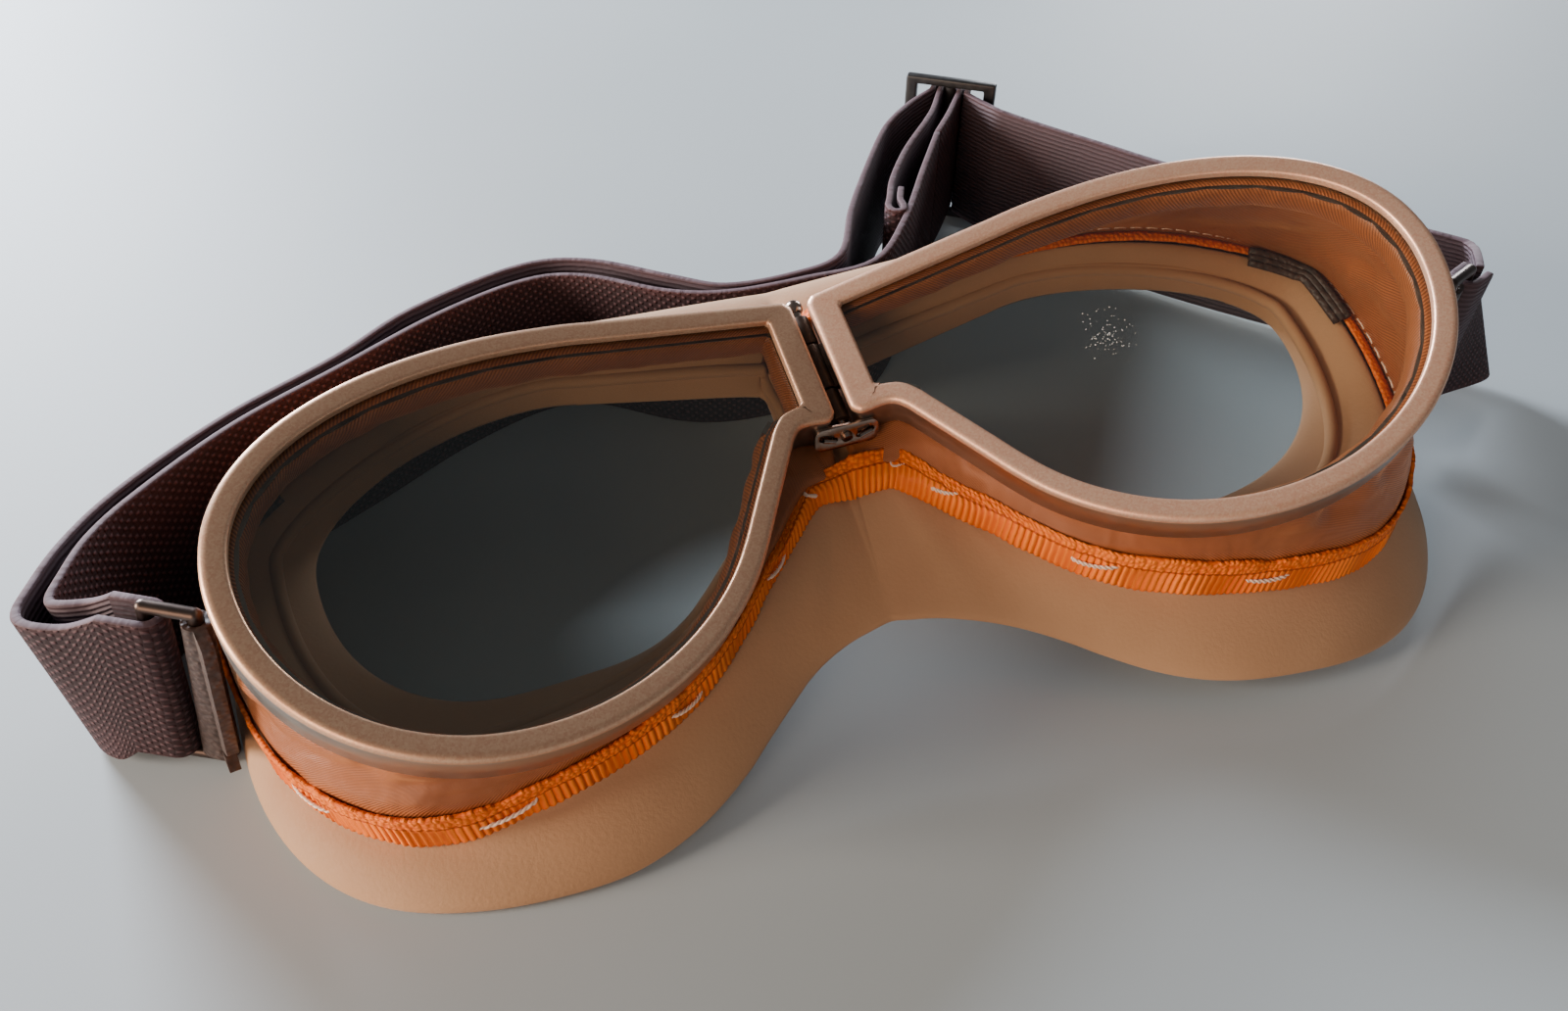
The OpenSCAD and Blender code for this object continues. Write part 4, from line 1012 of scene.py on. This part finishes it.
def ring_web(side, x, y):
    """A route point of webbing on a ring's outer bar: x, y, z and how far its upper edge leans."""
    low = at_ring(side, RING_REACH + x, y, WIRE_R + 0.2)
    high = at_ring(side, RING_REACH + x, y, WIRE_R + 0.2 + STRAP_W)
    return (low.x, low.y, low.z, high.x - low.x, high.y - low.y)


def loop_route(side):
    """The webbing's turn round a ring's outer bar."""
    arcs = [ring_web(side, LOOP_R * math.cos(a), LOOP_R * math.sin(a))
            for a in (math.pi / 2 + i * math.pi / 16 for i in range(17))]
    return [ring_web(side, LEG, LOOP_R)] + arcs + [ring_web(side, LEG, -LOOP_R)]


# The strap's lower edge as it lies: x and y, then its height and its upper edge's lean if any
OUTER = [ring_web(-1, LEG + 0.5, LOOP_R), (-106.4, -9.7, 1.4, 3.4, -1.6),
         (-108.8, -7.2, 0.9, 1.6, -1.8), (-109.9, -4.3, 0.6, 0.9, -2), (-108.8, -1, 0.3, 0.6, -1.2),
         (-104.6, 6.4), (-97.6, 15.2), (-84, 26.4), (-68, 35.6), (-55, 45), (-36, 52),
         (-24, 49.5), (-12, 39.5), (-4, 33.6), (8, 32.8), (18, 35.8), (26, 49.5),
         (34, 61.5, 0.3), (44, 75, 1.2), (49.6, 80, STRAP_Z)]
INNER = [ring_web(-1, LEG + 0.5, -LOOP_R), (-103.6, -7, 1.7, 3.6, -1.2),
         (-105.4, -5.5, 1.3, 1.9, -1.6), (-106.2, -3.6, 0.9, 1, -1.8), (-105, -0.6, 0.6, 0.6, -1),
         (-101.6, 5.6, 0.3), (-96, 12.8), (-83.2, 23.8), (-67.4, 32.8), (-51, 42), (-36, 47),
         (-26, 45), (-14, 35.4), (-4, 31.4), (10, 30.8), (23, 31.8), (34, 43), (45, 58, 0.8),
         (53.5, 69.2, STRAP_Z)]
TAIL = [(53, 74, STRAP_Z), (45, 66, 1.2), (38, 57, 0.6), (34.4, 50.6, 0.4), (32.9, 47.9, 0.4),
        (33.2, 45.9, 0.4), (34.8, 45.6, 0.4), (35.7, 47.2, 0.4), (36.2, 49.8, 0.4),
        (38.2, 53.6, 0.4)]
RIGHT = [(70, 73.46, STRAP_Z), (75, 66.4, 1.4), (83, 54.9, 0.9), (93, 39.8, 0.6, -1, 1.4),
         (108, 20, 1, -3.4, 4.6), (121.6, 3.6, 2, -6, 8), (131.6, -7.4, 3, -8.4, 9),
         (132.4, -10.2, 3.3, -8.6, 9), (129, -11.8, 3.6, -7, 8.4), (118, -13.6, 5.4, -3, 4),
         ring_web(1, LEG + 0.5, 0)]
SLIDER_AT = Vector((65.5, 87))
SLIDER_DIR = -38.5
BAR_R = 1.1


def on_slider(x, y):
    """A route point by the slider's bar, x along the strap."""
    q = SLIDER_AT + turned_to((x, y), SLIDER_DIR)
    return (q.x, q.y, STRAP_Z, 0, 0)


def eased_route(points, steps):
    """The rounder route through given points."""
    points = [tuple(p) + (0,) * (5 - len(p)) for p in points]
    made = finer([Vector(p[:3]) for p in points], steps, closed=False)
    over = finer([Vector((p[3], p[4], 0)) for p in points], steps, closed=False)
    return [(p.x, p.y, max(0.0, p.z), o.x, o.y) for p, o in zip(made, over)]


def over_bar(before, r, after):
    """A route up to the slider's bar, round it at a radius, and away from it."""
    fold = [on_slider(r * math.cos(a), r * math.sin(a))
            for a in (math.pi - i * math.pi / 16 for i in range(17))]
    return (eased_route(before + [on_slider(-r, -1.5)], 4) + fold
            + eased_route([on_slider(r, -1.5)] + after, 4))


WEBBING_ROWS = 8


def webbing(name, route, replaces, pulled_by, start, end):
    """Webbing that stands on a route; pulled_by, and start and end in metres, are not used."""
    rings, across_mm = [], []
    for row in range(WEBBING_ROWS + 1):
        share = row / WEBBING_ROWS
        ring = []
        for x, y, z, ox, oy in route:
            up = math.sqrt(STRAP_W ** 2 - ox ** 2 - oy ** 2)
            ring.append(Vector((x + ox * share, y + oy * share, z + up * share)))
        rings.append(ring)
        across_mm.append(STRAP_W * share)
    bm = sweep(rings, across_mm, closed=False)
    # The knotted face looks out, to the left of the route
    bm.faces.ensure_lookup_table()
    first = bm.faces[0]
    first.normal_update()
    k = min(v[bm.verts.layers.int["station"]] for v in first.verts)
    way = Vector((route[k + 1][0] - route[k][0], route[k + 1][1] - route[k][1], 0))
    if first.normal.dot(Vector((-way.y, way.x, 0))) < 0:
        bmesh.ops.reverse_faces(bm, faces=bm.faces)
    made = piece(name, bm, None, [knotted, plain_back], replaces)
    wall = thickened(made, STRAP_T - 0.15)
    wall.material_offset = 1
    wall.material_offset_rim = 1
    rounded = made.modifiers.new("soft_edges", "BEVEL")
    rounded.width = 0.0003
    rounded.segments = 2
    rounded.limit_method = "ANGLE"
    rounded.angle_limit = math.radians(60)
    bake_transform(made)


# The running length lies over the sewn end's fold on the slider's bar
inner_fold = BAR_R + 0.3 + STRAP_T / 2
outer_fold = BAR_R + 0.3 + STRAP_T * 1.5 + 0.3
running = over_bar([(49.6, 80.04, STRAP_Z), (55.6, 84.6, STRAP_Z)], outer_fold,
                   [on_slider(6, -3.4), (69.9, 73.64, STRAP_Z)])
sewn_route = over_bar([(53, 74.04, STRAP_Z), (57.6, 79.4, STRAP_Z)], inner_fold,
                      [(59.6, 76.2, STRAP_Z), (53.5, 69.24, STRAP_Z)])
# Its length is cut here in two behind the slider's bar
cut = len(running) // 2
webbing("left_webbing", eased_route(INNER, 6)[::-1] + loop_route(-1)[::-1][1:-1]
        + eased_route(OUTER, 6) + running[1:cut + 1],
        ["left_strap_loop", "strap_inner_run", "strap_outer_run"],
        "left_ring", (-0.100, 0.005, 0.015), (-0.104, -0.009, 0.015))
TO_RIGHT_RING = ("right_ring", (0.131, -0.006, 0.015), (0.128, -0.0166, 0.015))
webbing("right_webbing", running[cut:-1] + eased_route(RIGHT, 6), ["strap_right_run"],
        *TO_RIGHT_RING)
webbing("sewn_webbing", eased_route(TAIL, 6)[::-1] + sewn_route[1:],
        ["strap_sewn_end", "slider_webbing"],
        "slider", (0.0468, 0.0635, 0.015), (0.0618, 0.0823, 0.015))
webbing("right_loop_webbing", loop_route(1), ["right_strap_loop"], *TO_RIGHT_RING)

# ---------------------------------------------------------------- slider
# A steel slider bent from flat stock and enamelled black, with a loose centre bar. The webbing
# goes over the bar, which its pull holds against the frame.

# Semi-gloss with a slight orange-peel skin and dust on it
black_enamel = mottled("black_stoved_enamel", "#141415", "#2c2b2c", 700.0, (0.25, 0.5),
                       detail=2.0, relief=(0.1, 0.0003))
piece("slider_casting", eased("slider_frame", 0.45, segments=3), "slider",
      [black_enamel], ["slider_frame"], sharp=35)
refinish("slider_bar", black_enamel)
